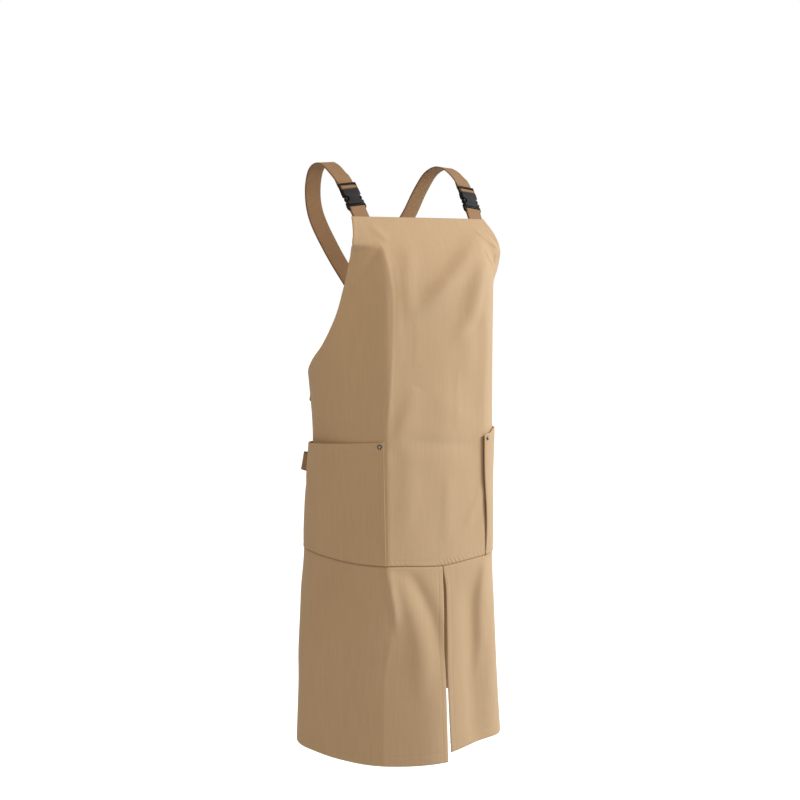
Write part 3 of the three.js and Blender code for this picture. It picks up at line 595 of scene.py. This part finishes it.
def upperStitches():
    inset, backU = upper["stitchInset"], form["backEdgeU"]
    endZ, topZ = form["armholeEndZ"], form["bibTopZ"]
    z, backZ = span(endZ, topZ - inset), span(seamZ(backU) + 1, endZ - 4)
    lines = []
    for side in (-1, 1):
        slope = (armholeReach(side, z + 1) - armholeReach(side, z - 1)) / 2
        lines.append((side * (armholeReach(side, z) - inset * np.sqrt(1 + slope**2)), z))
        lines.append((side * np.full_like(backZ, backU - inset), backZ))
    u = span(-121, 129)
    lines.append((u, np.full_like(u, topZ - inset)))
    u = span(-343, 343.1)
    lines += [(u, seamZ(u) + up) for up in upper["seamRows"]]
    return sewLines("upper_panel", lines, onUpper, upper["hemThickness"])


upperPanel = makeUpper()
upperSewing = upperStitches()
print("upper panel made")

# skirt panels: lapped behind the upper panel at the waist seam, split at the centre front
skirt = {
    "thickness": 1.3, "hemThickness": 2.1, "behind": 2.3, "easeOut": 2.3, "hem": 18, "hemStitch": 16, "edgeHem": 11,
    "edgeStitch": 9,
    # share of the way down, then the right and the left front edge's distance from the centre front
    "slit": [(0, -0.4, 1.4), (0.05, -1.2, 2.6), (0.17, -1.6, 7.4), (0.4, -1.2, 6.4), (0.62, -0.8, 4.7), (1, 0.3, 6.2)],
    # distance along the cloth and height of each hem
    "hems": {
        "right": [(0, -944.5), (60, -945.5), (120, -943), (180, -936), (235, -927), (345, -919)],
        "left": [(0, -931), (50, -925), (95, -921), (150, -919), (345, -872)],
    },
    "folds": [
        (62, -640, -960, 24, -5, 0), (105, -640, -1000, 26, 3, 0.05), (-175, -650, -1000, 32, -3, 0),
        (230, -650, -1100, 36, 4, 0),
    ],
    "streaks": {
        "right": [
            ([(-752, -80), (-712, -89), (-680, -96), (-641, -101), (-590, -103)], 4.5, 13, 4.6),
            ([(-880, -46), (-827, -45), (-771, -45), (-726, -54), (-690, -65), (-650, -78), (-600, -88)], 15, 18, 3.6),
            ([(-840, -8), (-782, -8.5), (-734, -14.5), (-685, -33.5), (-643, -56.5), (-590, -80)], 17, 14, -4.6),
            ([(-740, -238), (-680, -236), (-628, -234)], 9, 9, 1.6),
        ],
        "left": [
            ([(-850, 66), (-800, 74), (-762, 79), (-716, 80), (-680, 83), (-650, 91), (-570, 116)], 9.5, 16, 4.8),
        ],
    },
    "frontCrease": {
        "path": [(-960, -108), (-807, -103.5), (-739, -92), (-688, -92), (-648, -102), (-630, -103)],
        "top": -560, "bottom": -1040, "fade": 60, "ease": 1.6, "width": 9, "height": 1.3,
    },
}


def skirtHemZ(side, u):
    return follow(skirt["hems"][words[side]], np.abs(u))


def slitGap(side, down):
    return follow(skirt["slit"], down, 1 if side < 0 else 2)


def skirtEdge(side, u, z):  # mm from the slit or the back edge
    top = seamZ(u) + form["seam"]["lap"]
    gap = slitGap(side, (top - z) / (top - skirtHemZ(side, u)))
    return np.minimum(side * u - gap, form["backEdgeU"] - side * u)


def skirtRelief(side, u, z):
    hem = tidyEdge(z - skirtHemZ(side, u), skirt["hemStitch"]) + tidyEdge(skirtEdge(side, u, z), skirt["edgeStitch"])
    creased = streakHeight(skirt["streaks"][words[side]], u, z) * ramp(seamZ(u) - z, 0, 24)
    return foldHeight(skirt["folds"], u, z) + creased + sharpCrease(skirt["frontCrease"], u, z) + hem


def onSkirt(side, u, z, offset):
    behind = skirt["behind"] - skirt["easeOut"] * ramp(seamZ(u) - z, 0.1, 2.6)
    return standOff(partial(skirtRelief, side), u, z, offset - behind)


def makeSkirt(side, word):
    backU = form["backEdgeU"]
    columns = ticks(0, backU, 3.6, [(0, 12, 0.9), (60, 60, 2.2), (backU, 11, 1.2)])[::side]
    rows = ticks(0, 1, 0.013, [(0, 0.06, 0.0045), (0.96, 0.02, 0.005)])

    def layOut(column, row):
        gap = slitGap(side, 1 - row)
        u = side * (gap + (backU - gap) * column / backU)
        hem = skirtHemZ(side, u)
        return u, hem + (seamZ(u) + form["seam"]["lap"] - hem) * row

    def hemWeight(u, z):
        turned = hemShare(skirtEdge(side, u, z), skirt["edgeHem"])
        return np.maximum(turned, hemShare(z - skirtHemZ(side, u), skirt["hem"]))

    return sewnSheet("skirt_" + word, columns, rows, layOut, partial(onSkirt, side), skirt, hemWeight)


def skirtStitches(side, word):
    top = form["seam"]["centreZ"] + form["seam"]["lap"]
    low, backLow = (-925, -898) if side < 0 else (-912, -856)
    z = span(low, -636)
    lines = [(side * (skirt["edgeStitch"] + slitGap(side, (top - z) / (top - low + 15))), z)]
    z = span(backLow, -622)
    lines.append((side * np.full_like(z, form["backEdgeU"] - skirt["edgeStitch"]), z))
    u = side * span(4, 344)
    lines.append((u, skirtHemZ(side, u) + skirt["hemStitch"]))
    return sewLines("skirt_" + word, lines, partial(onSkirt, side), skirt["hemThickness"])


skirtPanels = {word: makeSkirt(side, word) for word, side in sides.items()}
skirtSewing = {word: skirtStitches(side, word) for word, side in sides.items()}
print("skirt panels made")

# patch pockets on the hips, open at the top
pocket = {
    "thickness": 1.3, "hemThickness": 2,
    "front": {"right": (102.2, -0.8), "left": (99.5, 7)},  # place of the edge's foot, and its lean forward
    "rearU": 283, "topZ": -432, "height": 195, "bulge": 10, "base": 2.3, "baseAtSeam": 1.6, "topHem": 22,
    "topStitch": 19, "edgeRows": (2.5, 8), "rearRow": 3, "frontLift": 2.8,
    "creases": [
        (-262, -440, -236, -556, 11, 3), (-232, -520, -216, -622, 9, 2.2), (-246, -452, -222, -540, 9, -1.8),
        (-160, -470, -150, -600, 16, 1.2),
    ],
    "mouth": {"rise": 8, "riseEnd": 45, "fallStart": 90, "ripple": 1.2, "rippleReach": 40, "halfWave": 15},
    "mouthDrop": (1.5, 9),
}


def pocketUpward(z):
    return np.maximum((z - pocket["topZ"]) / pocket["height"] + 1, 0)


def pocketFront(side, z):
    foot, lean = pocket["front"][words[side]]
    return foot - lean * ramp(pocketUpward(z), 0.1, 0.75)


def fromFront(u, z):  # mm from the pocket's front edge
    return np.where(u < 0, -u - pocketFront(-1, z), u - pocketFront(1, z))


def pocketOffset(u, z):  # mm that the pocket stands off the panel's middle
    start = fromFront(u, z)
    share = np.clip(start / (start + pocket["rearU"] - np.abs(u)), 0, 1)
    upward = pocketUpward(z)
    bulge = pocket["bulge"] * np.sin(np.pi * share**1.8) ** 2 * upward**1.4
    lift = np.where(u > 0, pocket["frontLift"], 0) * np.exp(-share / 0.16) * ramp(upward, 0.02, 0.5)
    base = pocket["baseAtSeam"] + (pocket["base"] - pocket["baseAtSeam"]) * ramp(z - seamZ(u), 0, 30)
    return base + bulge + lift


def mouthZ(side, u):
    mouth, drop = pocket["mouth"], pocket["mouthDrop"]
    front = pocketFront(side, pocket["topZ"])
    start = np.maximum(side * u - front, 0)
    if side < 0:
        return pocket["topZ"] - drop[0] - (drop[1] - drop[0]) * start / (pocket["rearU"] - front)
    climb = ramp(start, 0, mouth["riseEnd"])
    fall = ramp(start, mouth["fallStart"], pocket["rearU"] - front)
    ripple = mouth["ripple"] * np.sin(np.pi * start / mouth["halfWave"]) * np.exp(-start / mouth["rippleReach"])
    return pocket["topZ"] + mouth["rise"] * climb * (1 - fall) + ripple


def pocketSewn(side, u, z):  # the pocket's turned edges and stitch rows
    start = fromFront(u, z)
    front = tidyEdge(start, pocket["edgeRows"][1]) + groove(start, pocket["edgeRows"][0])
    ends = tidyEdge(mouthZ(side, u) - z, pocket["topStitch"]) + groove(z - seamZ(u), upper["seamRows"][1])
    folded = creaseHeight(pocket["creases"], u, z)
    return front + ends + groove(pocket["rearU"] - np.abs(u), pocket["rearRow"]) + folded


def onPocket(side, u, z, offset):
    return standOff(underPocket, u, z, offset + pocketOffset(u, z) + pocketSewn(side, u, z))


def makePocket(side, word):
    columns = ticks(0, 1, 0.0145, [(0, 0.055, 0.0045), (1, 0.03, 0.0065)])[::side]
    rows = ticks(0, 1, 0.014, [(0, 0.05, 0.006), (1, 0.02, 0.005)])

    def layOut(column, row):
        front = pocketFront(side, pocket["topZ"] - pocket["height"] * (1 - row))
        u = side * (front + (pocket["rearU"] - front) * column)
        return u, seamZ(u) + (mouthZ(side, u) - seamZ(u)) * row

    def hemWeight(u, z):
        ends = np.minimum(fromFront(u, z), pocket["rearU"] - np.abs(u))
        return np.maximum(hemShare(ends, pocket["edgeRows"][1] + 2), hemShare(mouthZ(side, u) - z, pocket["topHem"]))

    return sewnSheet("pocket_" + word, columns, rows, layOut, partial(onPocket, side), pocket, hemWeight)


def pocketStitches(side, word):
    topZ, rearU = pocket["topZ"], pocket["rearU"]
    z = span(-618, topZ - 4)
    lines = [(side * (pocketFront(side, z) + inset), z) for inset in pocket["edgeRows"]]
    z = span(-606, topZ - 12)
    lines.append((side * np.full_like(z, rearU - pocket["rearRow"]), z))
    u = side * span(pocketFront(side, topZ) + 2, rearU - 2)
    lines.append((u, mouthZ(side, u) - pocket["topStitch"]))
    u = side * span(pocketFront(side, -640) + 2, rearU - 2)
    lines += [(u, seamZ(u) + up) for up in upper["seamRows"]]
    return sewLines("pocket_" + word, lines, partial(onPocket, side))


pockets = {word: makePocket(side, word) for word, side in sides.items()}
pocketSewing = {word: pocketStitches(side, word) for word, side in sides.items()}
print("pockets made")

# rivets at the pockets' top front corners
rivet = {
    "radius": 3.6, "height": 1.6, "inset": 7, "lift": 0.15, "steps": 28,
    # shares of the radius and of the height, from the crown to the rim's foot
    "profile": [
        (0, 1), (0.3, 0.97), (0.55, 0.86), (0.72, 0.68), (0.8, 0.5), (0.84, 0.5), (0.96, 0.4), (1, 0.2), (1, 0),
    ],
}


def makeRivet(side, word):
    radius, height = rivet["radius"], rivet["height"]
    bm = bmesh.new()
    line = [bm.verts.new((share * radius, 0, up * height)) for share, up in rivet["profile"]]
    edges = [bm.edges.new(pair) for pair in zip(line, line[1:])]
    bmesh.ops.spin(
        bm, geom=line + edges, cent=(0, 0, 0), axis=(0, 0, 1), angle=2 * math.pi, steps=rivet["steps"], use_merge=True
    )
    bmesh.ops.remove_doubles(bm, verts=bm.verts, dist=1e-4)
    bmesh.ops.holes_fill(bm, edges=[e for e in bm.edges if e.is_boundary], sides=0)
    bmesh.ops.recalc_face_normals(bm, faces=bm.faces)
    for face in bm.faces:
        # faces near the rim take the darker metal, a painted dark reflection
        face.material_index = int(face.calc_center_median().xy.length > 0.6 * radius)
    u = np.array([side * (pocketFront(side, pocket["topZ"]) + rivet["inset"])])
    seat, out = onPocket(side, u, mouthZ(side, u) - rivet["inset"], halfCloth + rivet["lift"])
    turn = Vector(out[0]).to_track_quat("Z", "Y").to_matrix().to_4x4()
    bmesh.ops.transform(bm, verts=bm.verts, matrix=Matrix.Scale(mm, 4) @ Matrix.Translation(seat[0]) @ turn)
    cap = newObject("rivet_" + word + "_cap", bm, materials["nickel"])
    cap.data.materials.append(materials["rivetRimPaintedReflection"])
    settle(cap, "rivet", "rivet_" + word)


for word, side in sides.items():
    makeRivet(side, word)
print("rivets made")

# webbing: straps, buckle tabs and hip loop
strip = {"width": 29, "thickness": 1.4, "columns": 13, "step": 2.4, "selvedgeAndPaintedShade": 0.14}


def ribbonPiece(node, points, across):  # a flat strip along dense points, outer face = across x forward
    at = spacedAlong(points, strip["step"])
    at[0], at[-1] = 0, len(points) - 1
    point, forward = pick(points, at), unit(pick(np.gradient(points, axis=0), at))
    side = squareTo(forward, pick(across, at))
    outer = np.cross(side, forward)
    length = lengthAlong(point)

    def placeAt(column, row):
        k = row.astype(int)
        aside = column * strip["width"] / 2
        raised = strip["thickness"] / 2 + strip["selvedgeAndPaintedShade"] * (np.abs(column) ** 6 - 0.3)
        place = point[k] + side[k] * aside[:, None] + outer[k] * raised[:, None]
        return place, np.stack([aside, length[k]], -1)

    columns, rows = np.linspace(-1, 1, strip["columns"]), np.arange(len(point), dtype=float)
    obj = gridSheet(node + "_webbing", columns, rows, placeAt, materials["webbing"])[0]
    giveThickness(obj, strip["thickness"])
    settle(obj, "webbing", node)


def alongRoute(points, share):  # centripetal curve through the points
    points = np.array(points)
    last = len(points) - 1
    guarded = np.vstack([2 * points[0] - points[1], points, 2 * points[-1] - points[-2]])
    i = np.minimum((share * last).astype(int), last - 1)
    t = (share * last - i)[:, None]
    p0, p1, p2, p3 = (guarded[i + k] for k in range(4))
    gap = lambda a, b: np.sqrt(np.linalg.norm(b - a, axis=1))[:, None]
    d0, d1, d2 = gap(p0, p1), gap(p1, p2), gap(p2, p3)
    leave = ((p1 - p0) / d0 - (p2 - p0) / (d0 + d1) + (p2 - p1) / d1) * d1
    arrive = ((p2 - p1) / d1 - (p3 - p1) / (d1 + d2) + (p3 - p2) / d2) * d1
    return curve(t, p1, p2, leave, arrive)


# buckles: v runs up the strap from the bib's top edge, n stands off the cloth
buckle = {
    "cornerU": {"right": -112, "left": 120},
    "lean": 0.13, "midN": -2.6, "tabTuck": 15, "tabBarV": 18.6, "barRadius": 1.2, "footV": 24, "topV": 51,
    "centreBarV": 55, "outerBarV": 61.8, "halfWidth": 15.4, "halfDepth": 4.2, "frameHalf": 16.8, "slotHalf": 15,
    "shoulderHalf": 16.8, "buttonV": 34.5, "buttonRadius": 5,
    # outline of the male half's ear, across and up from the tab's bar
    "ear": [(15, 4.6), (15, -2.2), (15.4, -3.1), (16.2, -2.9), (17, -1), (17.6, 1.4), (17.5, 4.6)],
}
barTurn = buckle["barRadius"] + 0.3 + strip["thickness"] / 2  # bend of the webbing round a bar


def smoothSpot(u, z):  # place, along, up and out at a spot of the uncreased panel
    return [values[0] for values in clothFrame(smoothUpper, np.array([float(u)]), np.array([float(z)]))]


def bibCorner(side):  # place, across, up the strap and out at one bib corner
    point, along, up, out = smoothSpot(buckle["cornerU"][words[side]], form["bibTopZ"])
    up = unit(up + np.array([side * buckle["lean"], 0, 0]))
    across = squareTo(up, along)
    return point, across, up, np.cross(across, up)


def arc(x, y, radius, degrees):  # points round a centre
    return [(x + radius * math.cos(angle), y + radius * math.sin(angle)) for angle in np.radians(degrees)]


def cornerPoints(corner, vn):  # points of the buckle's middle plane from rows of v and n
    point, across, up, out = corner
    vn = np.array(vn, float)
    return point + up * vn[:, :1] + out * vn[:, 1:]


strapPath = {
    "tail": 18, "rise": 7,
    "route": [
        (-122, -43, -19.5), (-121.5, -19.5, -4), (-120, 0, 0.7), (-117, 24, -8), (-110, 44, -36), (-96, 57, -76),
        (-58, 65.5, -134), (0, 67, -212), (58, 65.5, -288),
    ],
    "end": [(331, -352, 1.8), (319, -368, 1), (307, -384, 0.9)],  # u, z and air under the strap
    "crossingLift": 1.6, "crossingReach": 40,
}


def makeStrap(side, word):
    corner = bibCorner(side)
    mid, centreV, outerV = buckle["midN"], buckle["centreBarV"], buckle["outerBarV"]
    hairpin = [(outerV + strapPath["tail"], mid - barTurn - 1.7), (outerV, mid - barTurn - 1.7)]
    hairpin += arc(centreV, mid, barTurn, (270, 225, 180, 135, 90, 50)) + arc(outerV, mid, barTurn, (230, 270))
    hairpin += [(outerV + strapPath["rise"], mid - barTurn)]
    points = list(cornerPoints(corner, hairpin))
    for x, y, z in strapPath["route"]:
        lift = side * strapPath["crossingLift"] * math.exp(-((x / strapPath["crossingReach"]) ** 2))
        points.append(np.array([-side * x, y + lift, z]))
    for u, z, air in strapPath["end"]:
        point, along, up, out = smoothSpot(-side * u, z)
        points.append(point + out * (strip["thickness"] + air))
    share = np.linspace(0, 1, 1600)
    u, z, air = strapPath["end"][1]
    sewn = smoothSpot(-side * u, z)[1]
    sewn = sewn * (1 if sewn[0] > 0 else -1)
    level = ramp(share, 0.5, 0.7)[:, None]
    seated = ramp(share, 0.84, 0.95)[:, None]
    across = corner[1] * (1 - level) + np.array([1, 0, 0]) * level
    across = unit(across * (1 - seated) + sewn * seated)
    ribbonPiece("strap_" + word, alongRoute(points, share), across)


def makeTab(side, word):  # doubled webbing round the male half's bar
    corner = bibCorner(side)
    mid, barV = buckle["midN"], buckle["tabBarV"]
    v = np.linspace(-buckle["tabTuck"], barV, 200)
    rise = 0.72 + (barTurn - 0.72) * ramp(v, barV - 7, barV)
    front = np.stack([v, mid + rise], -1)
    eye = arc(barV, mid, barTurn, np.linspace(90, -90, 90)[1:-1])
    back = np.stack([v, mid - rise], -1)[::-1]
    points = cornerPoints(corner, np.concatenate([front, eye, back]))
    ribbonPiece("tab_" + word, points, np.tile(corner[1], (len(points), 1)))


hipLoop = {"u": -303, "topZ": -463, "stand": 17, "footU": 15, "footShare": 0.3, "fullness": 0.6, "rest": 2.3}


def makeHipLoop():
    share = np.linspace(-1, 1, 240)
    rise = ramp(1 - np.abs(share), hipLoop["footShare"], 1) ** hipLoop["fullness"]
    z = np.full_like(share, hipLoop["topZ"] - strip["width"] / 2)
    point, along, up, out = clothFrame(smoothUpper, hipLoop["u"] + hipLoop["footU"] * share, z)
    points = point + out * (hipLoop["rest"] + (hipLoop["stand"] - hipLoop["rest"]) * rise)[:, None]
    ribbonPiece("side_loop", points, -up)


for make in (makeStrap, makeTab):
    for word, side in sides.items():
        make(side, word)
makeHipLoop()
print("webbing made")


def roundedLoop(bm, low, high, radius):  # loop of edges round a rectangle with round corners
    left, right, foot, top = low[0] + radius, high[0] - radius, low[1] + radius, high[1] - radius
    points = []
    for x, y, start in ((right, top, 0), (left, top, 90), (left, foot, 180), (right, foot, 270)):
        points += arc(x, y, radius, np.linspace(start, start + 90, 5))
    verts = [bm.verts.new((x, y, 0)) for x, y in points]
    return [bm.edges.new(pair) for pair in zip(verts, verts[1:] + verts[:1])]


def easeSharp(bm, verts, ease, segments, clamp=False):  # rounds the sharp edges at these vertices
    edges = dict.fromkeys(e for v in verts for e in v.link_edges)
    sharp = [e for e in edges if e.calc_face_angle(0) > 0.7]
    bmesh.ops.bevel(
        bm, geom=sharp, offset=ease, offset_type="OFFSET", segments=segments, profile=0.5, affect="EDGES", material=-1,
        clamp_overlap=clamp,
    )


def raisePlate(bm, faces, low, high, ease):  # gives flat faces depth and eases sharp edges
    bmesh.ops.recalc_face_normals(bm, faces=faces)
    verts = list(dict.fromkeys(v for face in faces for v in face.verts))
    bmesh.ops.translate(bm, verts=verts, vec=(0, 0, low))
    grown = bmesh.ops.extrude_face_region(bm, geom=faces)["geom"]
    top = [item for item in grown if isinstance(item, bmesh.types.BMVert)]
    bmesh.ops.translate(bm, verts=top, vec=(0, 0, high - low))
    touched = list(dict.fromkeys(verts + top))
    bmesh.ops.recalc_face_normals(bm, faces=list({face for v in touched for face in v.link_faces}))
    easeSharp(bm, touched, ease, 3, True)


def outlinePlate(bm, outline, low, high, ease):
    face = bm.faces.new([bm.verts.new((x, y, 0)) for x, y in outline])
    raisePlate(bm, [face], low, high, ease)


def framePlate(bm, outer, inner, low, high, ease):  # flat ring between two rounded rectangles
    edges = roundedLoop(bm, *outer, 1.6) + roundedLoop(bm, *inner, 0.6)
    raisePlate(bm, bmesh.ops.bridge_loops(bm, edges=edges)["faces"], low, high, ease)


def easedRod(bm, turn, radius, length, segments, ease, steps):
    made = bmesh.ops.create_cone(
        bm, cap_ends=True, segments=segments, radius1=radius, radius2=radius, depth=length, matrix=turn
    )
    easeSharp(bm, made["verts"], ease, steps)


def crossBar(bm, v):
    turn = Matrix.Translation((0, v, 0)) @ Matrix.Rotation(math.pi / 2, 4, "Y")
    easedRod(bm, turn, buckle["barRadius"], 2 * (buckle["slotHalf"] + 0.6), 20, 0.3, 2)


def sideButton(bm, way):  # round button with a raised ring, held in the body's notch
    middle = way * (buckle["halfWidth"] - 4.4)
    turn = Matrix.Translation((middle, buckle["buttonV"], 0))
    easedRod(bm, turn, buckle["buttonRadius"] - 0.45, 2 * (buckle["halfDepth"] - 1.1), 32, 0.7, 3)
    faces = [f for f in bm.faces if len(f.verts) > 20 and abs(f.calc_center_median().x - middle) < 1]
    bmesh.ops.inset_region(bm, faces=faces, thickness=1, depth=-0.5, use_even_offset=True)


def bodyOutline():  # socket body seen from the front, with a round notch at each side
    half, foot, top, radius = buckle["halfWidth"], buckle["footV"], buckle["topV"], buckle["buttonRadius"]
    reach = math.degrees(math.asin(0.6 / radius))
    right = arc(half - 2.4, foot + 2.4, 2.4, np.linspace(270, 360, 6))
    right += arc(half - 0.6, buckle["buttonV"], radius, np.linspace(-90 + reach, -270 - reach, 19))
    right += arc(half - 1.8, top - 1.8, 1.8, np.linspace(0, 90, 6))
    return right + [(-x, y) for x, y in reversed(right)]


def finishBuckle(node, bm, side):
    point, across, up, out = bibCorner(side)
    seat = Matrix([across, up, out]).transposed().to_4x4()
    seat.translation = point + out * buckle["midN"]
    bmesh.ops.recalc_face_normals(bm, faces=bm.faces)
    bmesh.ops.transform(bm, verts=bm.verts, matrix=Matrix.Scale(mm, 4) @ seat)
    obj = newObject(node + "_moulding", bm, materials["blackPlasticAndPaintedShade"])
    obj.data.materials.append(materials["satin"])
    obj.data.set_sharp_from_angle(angle=math.radians(28))
    settle(obj, "buckle", node)


def makeFemale(side, word):
    bm = bmesh.new()
    outlinePlate(bm, bodyOutline(), -buckle["halfDepth"], buckle["halfDepth"], 1.1)
    # the broad front faces take the paler satin; rims and frames keep the darker base, painted shade
    for face in bm.faces:
        if face.calc_area() > 200 and abs(face.normal.z) > 0.9:
            face.material_index = 1
    frameHalf, slotHalf, topV, barV = buckle["frameHalf"], buckle["slotHalf"], buckle["topV"], buckle["outerBarV"]
    outer = ((-frameHalf, topV - 3), (frameHalf, barV + buckle["barRadius"] + 0.3))
    inner = ((-slotHalf, topV + 0.4), (slotHalf, barV - buckle["barRadius"]))
    framePlate(bm, outer, inner, -1.7, 1.7, 0.5)
    crossBar(bm, buckle["centreBarV"])
    finishBuckle("buckle_female_" + word, bm, side)


def makeMale(side, word):
    bm = bmesh.new()
    barV, half = buckle["tabBarV"], buckle["shoulderHalf"]
    shoulders = [(-half, barV + 3.3), (half, barV + 3.3), (half + 0.2, barV + 6), (-half - 0.2, barV + 6)]
    outlinePlate(bm, shoulders, -2.6, 2.6, 0.5)
    for way in (-1, 1):
        outlinePlate(bm, [(way * x, barV + v) for x, v in buckle["ear"]], -2, 2, 0.45)
        sideButton(bm, way)
    crossBar(bm, barV)
    finishBuckle("buckle_male_" + word, bm, side)


for word, side in sides.items():
    makeFemale(side, word)
    makeMale(side, word)
print("buckles made")
# floor, light and background
studio = {
    "floorZ": -1.45, "floorTone": (0.84, 0.89, 0.95, 1), "floorGlow": 0.8, "ambient": 0.5,
    "ambientTone": (1, 0.868, 0.73, 1),
    # lamps: tone, power, size, azimuth, elevation, distance and the height they are aimed at
    "key": ((0.94, 1, 1.08), 92, 1.5, 58, 28, 3.2, -0.5),
    "fill": ((1, 0.9, 0.74), 0.85, 0.6, -58, 35, 0.9, -0.28),
}


def addLamp(name):  # a square lamp aimed at the cloth
    tone, power, size, azimuth, elevation, distance, aim = studio[name]
    light = bpy.data.lights.new(name, "AREA")
    light.energy, light.color, light.size = power, tone, size
    azimuth, elevation = math.radians(azimuth), math.radians(elevation)
    level = math.cos(elevation)
    away = Vector((math.sin(azimuth) * level, -math.cos(azimuth) * level, math.sin(elevation)))
    lamp = bpy.data.objects.new(name, light)
    lamp.location = Vector((0, -0.05, aim)) + away * distance
    lamp.visible_camera = False
    lamp.rotation_euler = away.to_track_quat("Z", "Y").to_euler()
    bpy.context.scene.collection.objects.link(lamp)


def makeStudio():
    white = (1, 1, 1, 1)
    bm = bmesh.new()
    bmesh.ops.create_grid(bm, x_segments=8, y_segments=8, size=30)
    bmesh.ops.translate(bm, verts=bm.verts, vec=(0, 0, studio["floorZ"]))
    material = bpy.data.materials.new("floor")
    material.use_nodes = True
    tree = material.node_tree
    seen = addNode(tree, "LightPath", (-600, -300)).outputs["Is Camera Ray"]
    glow = addNode(tree, "Math", (-300, -300), {0: seen, 1: studio["floorGlow"]}, operation="MULTIPLY").outputs[0]
    feeds = {"Base Color": studio["floorTone"], "Roughness": 0.9, "Emission Color": white, "Emission Strength": glow}
    feed(tree, tree.nodes["Principled BSDF"], feeds)
    newObject("floor", bm, material)
    world = bpy.data.worlds.new("studio")
    world.use_nodes = True
    tree = world.node_tree
    seen = addNode(tree, "LightPath", (-600, 200)).outputs["Is Camera Ray"]
    strength = addNode(tree, "Mix", (-300, 100), {"Factor": seen, 2: studio["ambient"], 3: 1}).outputs[0]
    tones = {"Factor": seen, 6: studio["ambientTone"], 7: white}
    tint = addNode(tree, "Mix", (-300, 400), tones, data_type="RGBA").outputs[2]
    feed(tree, tree.nodes["Background"], {"Color": tint, "Strength": strength})
    bpy.context.scene.world = world
    addLamp("key")
    addLamp("fill")
    bpy.context.scene.view_settings.view_transform = "Standard"


makeStudio()
print("studio made")
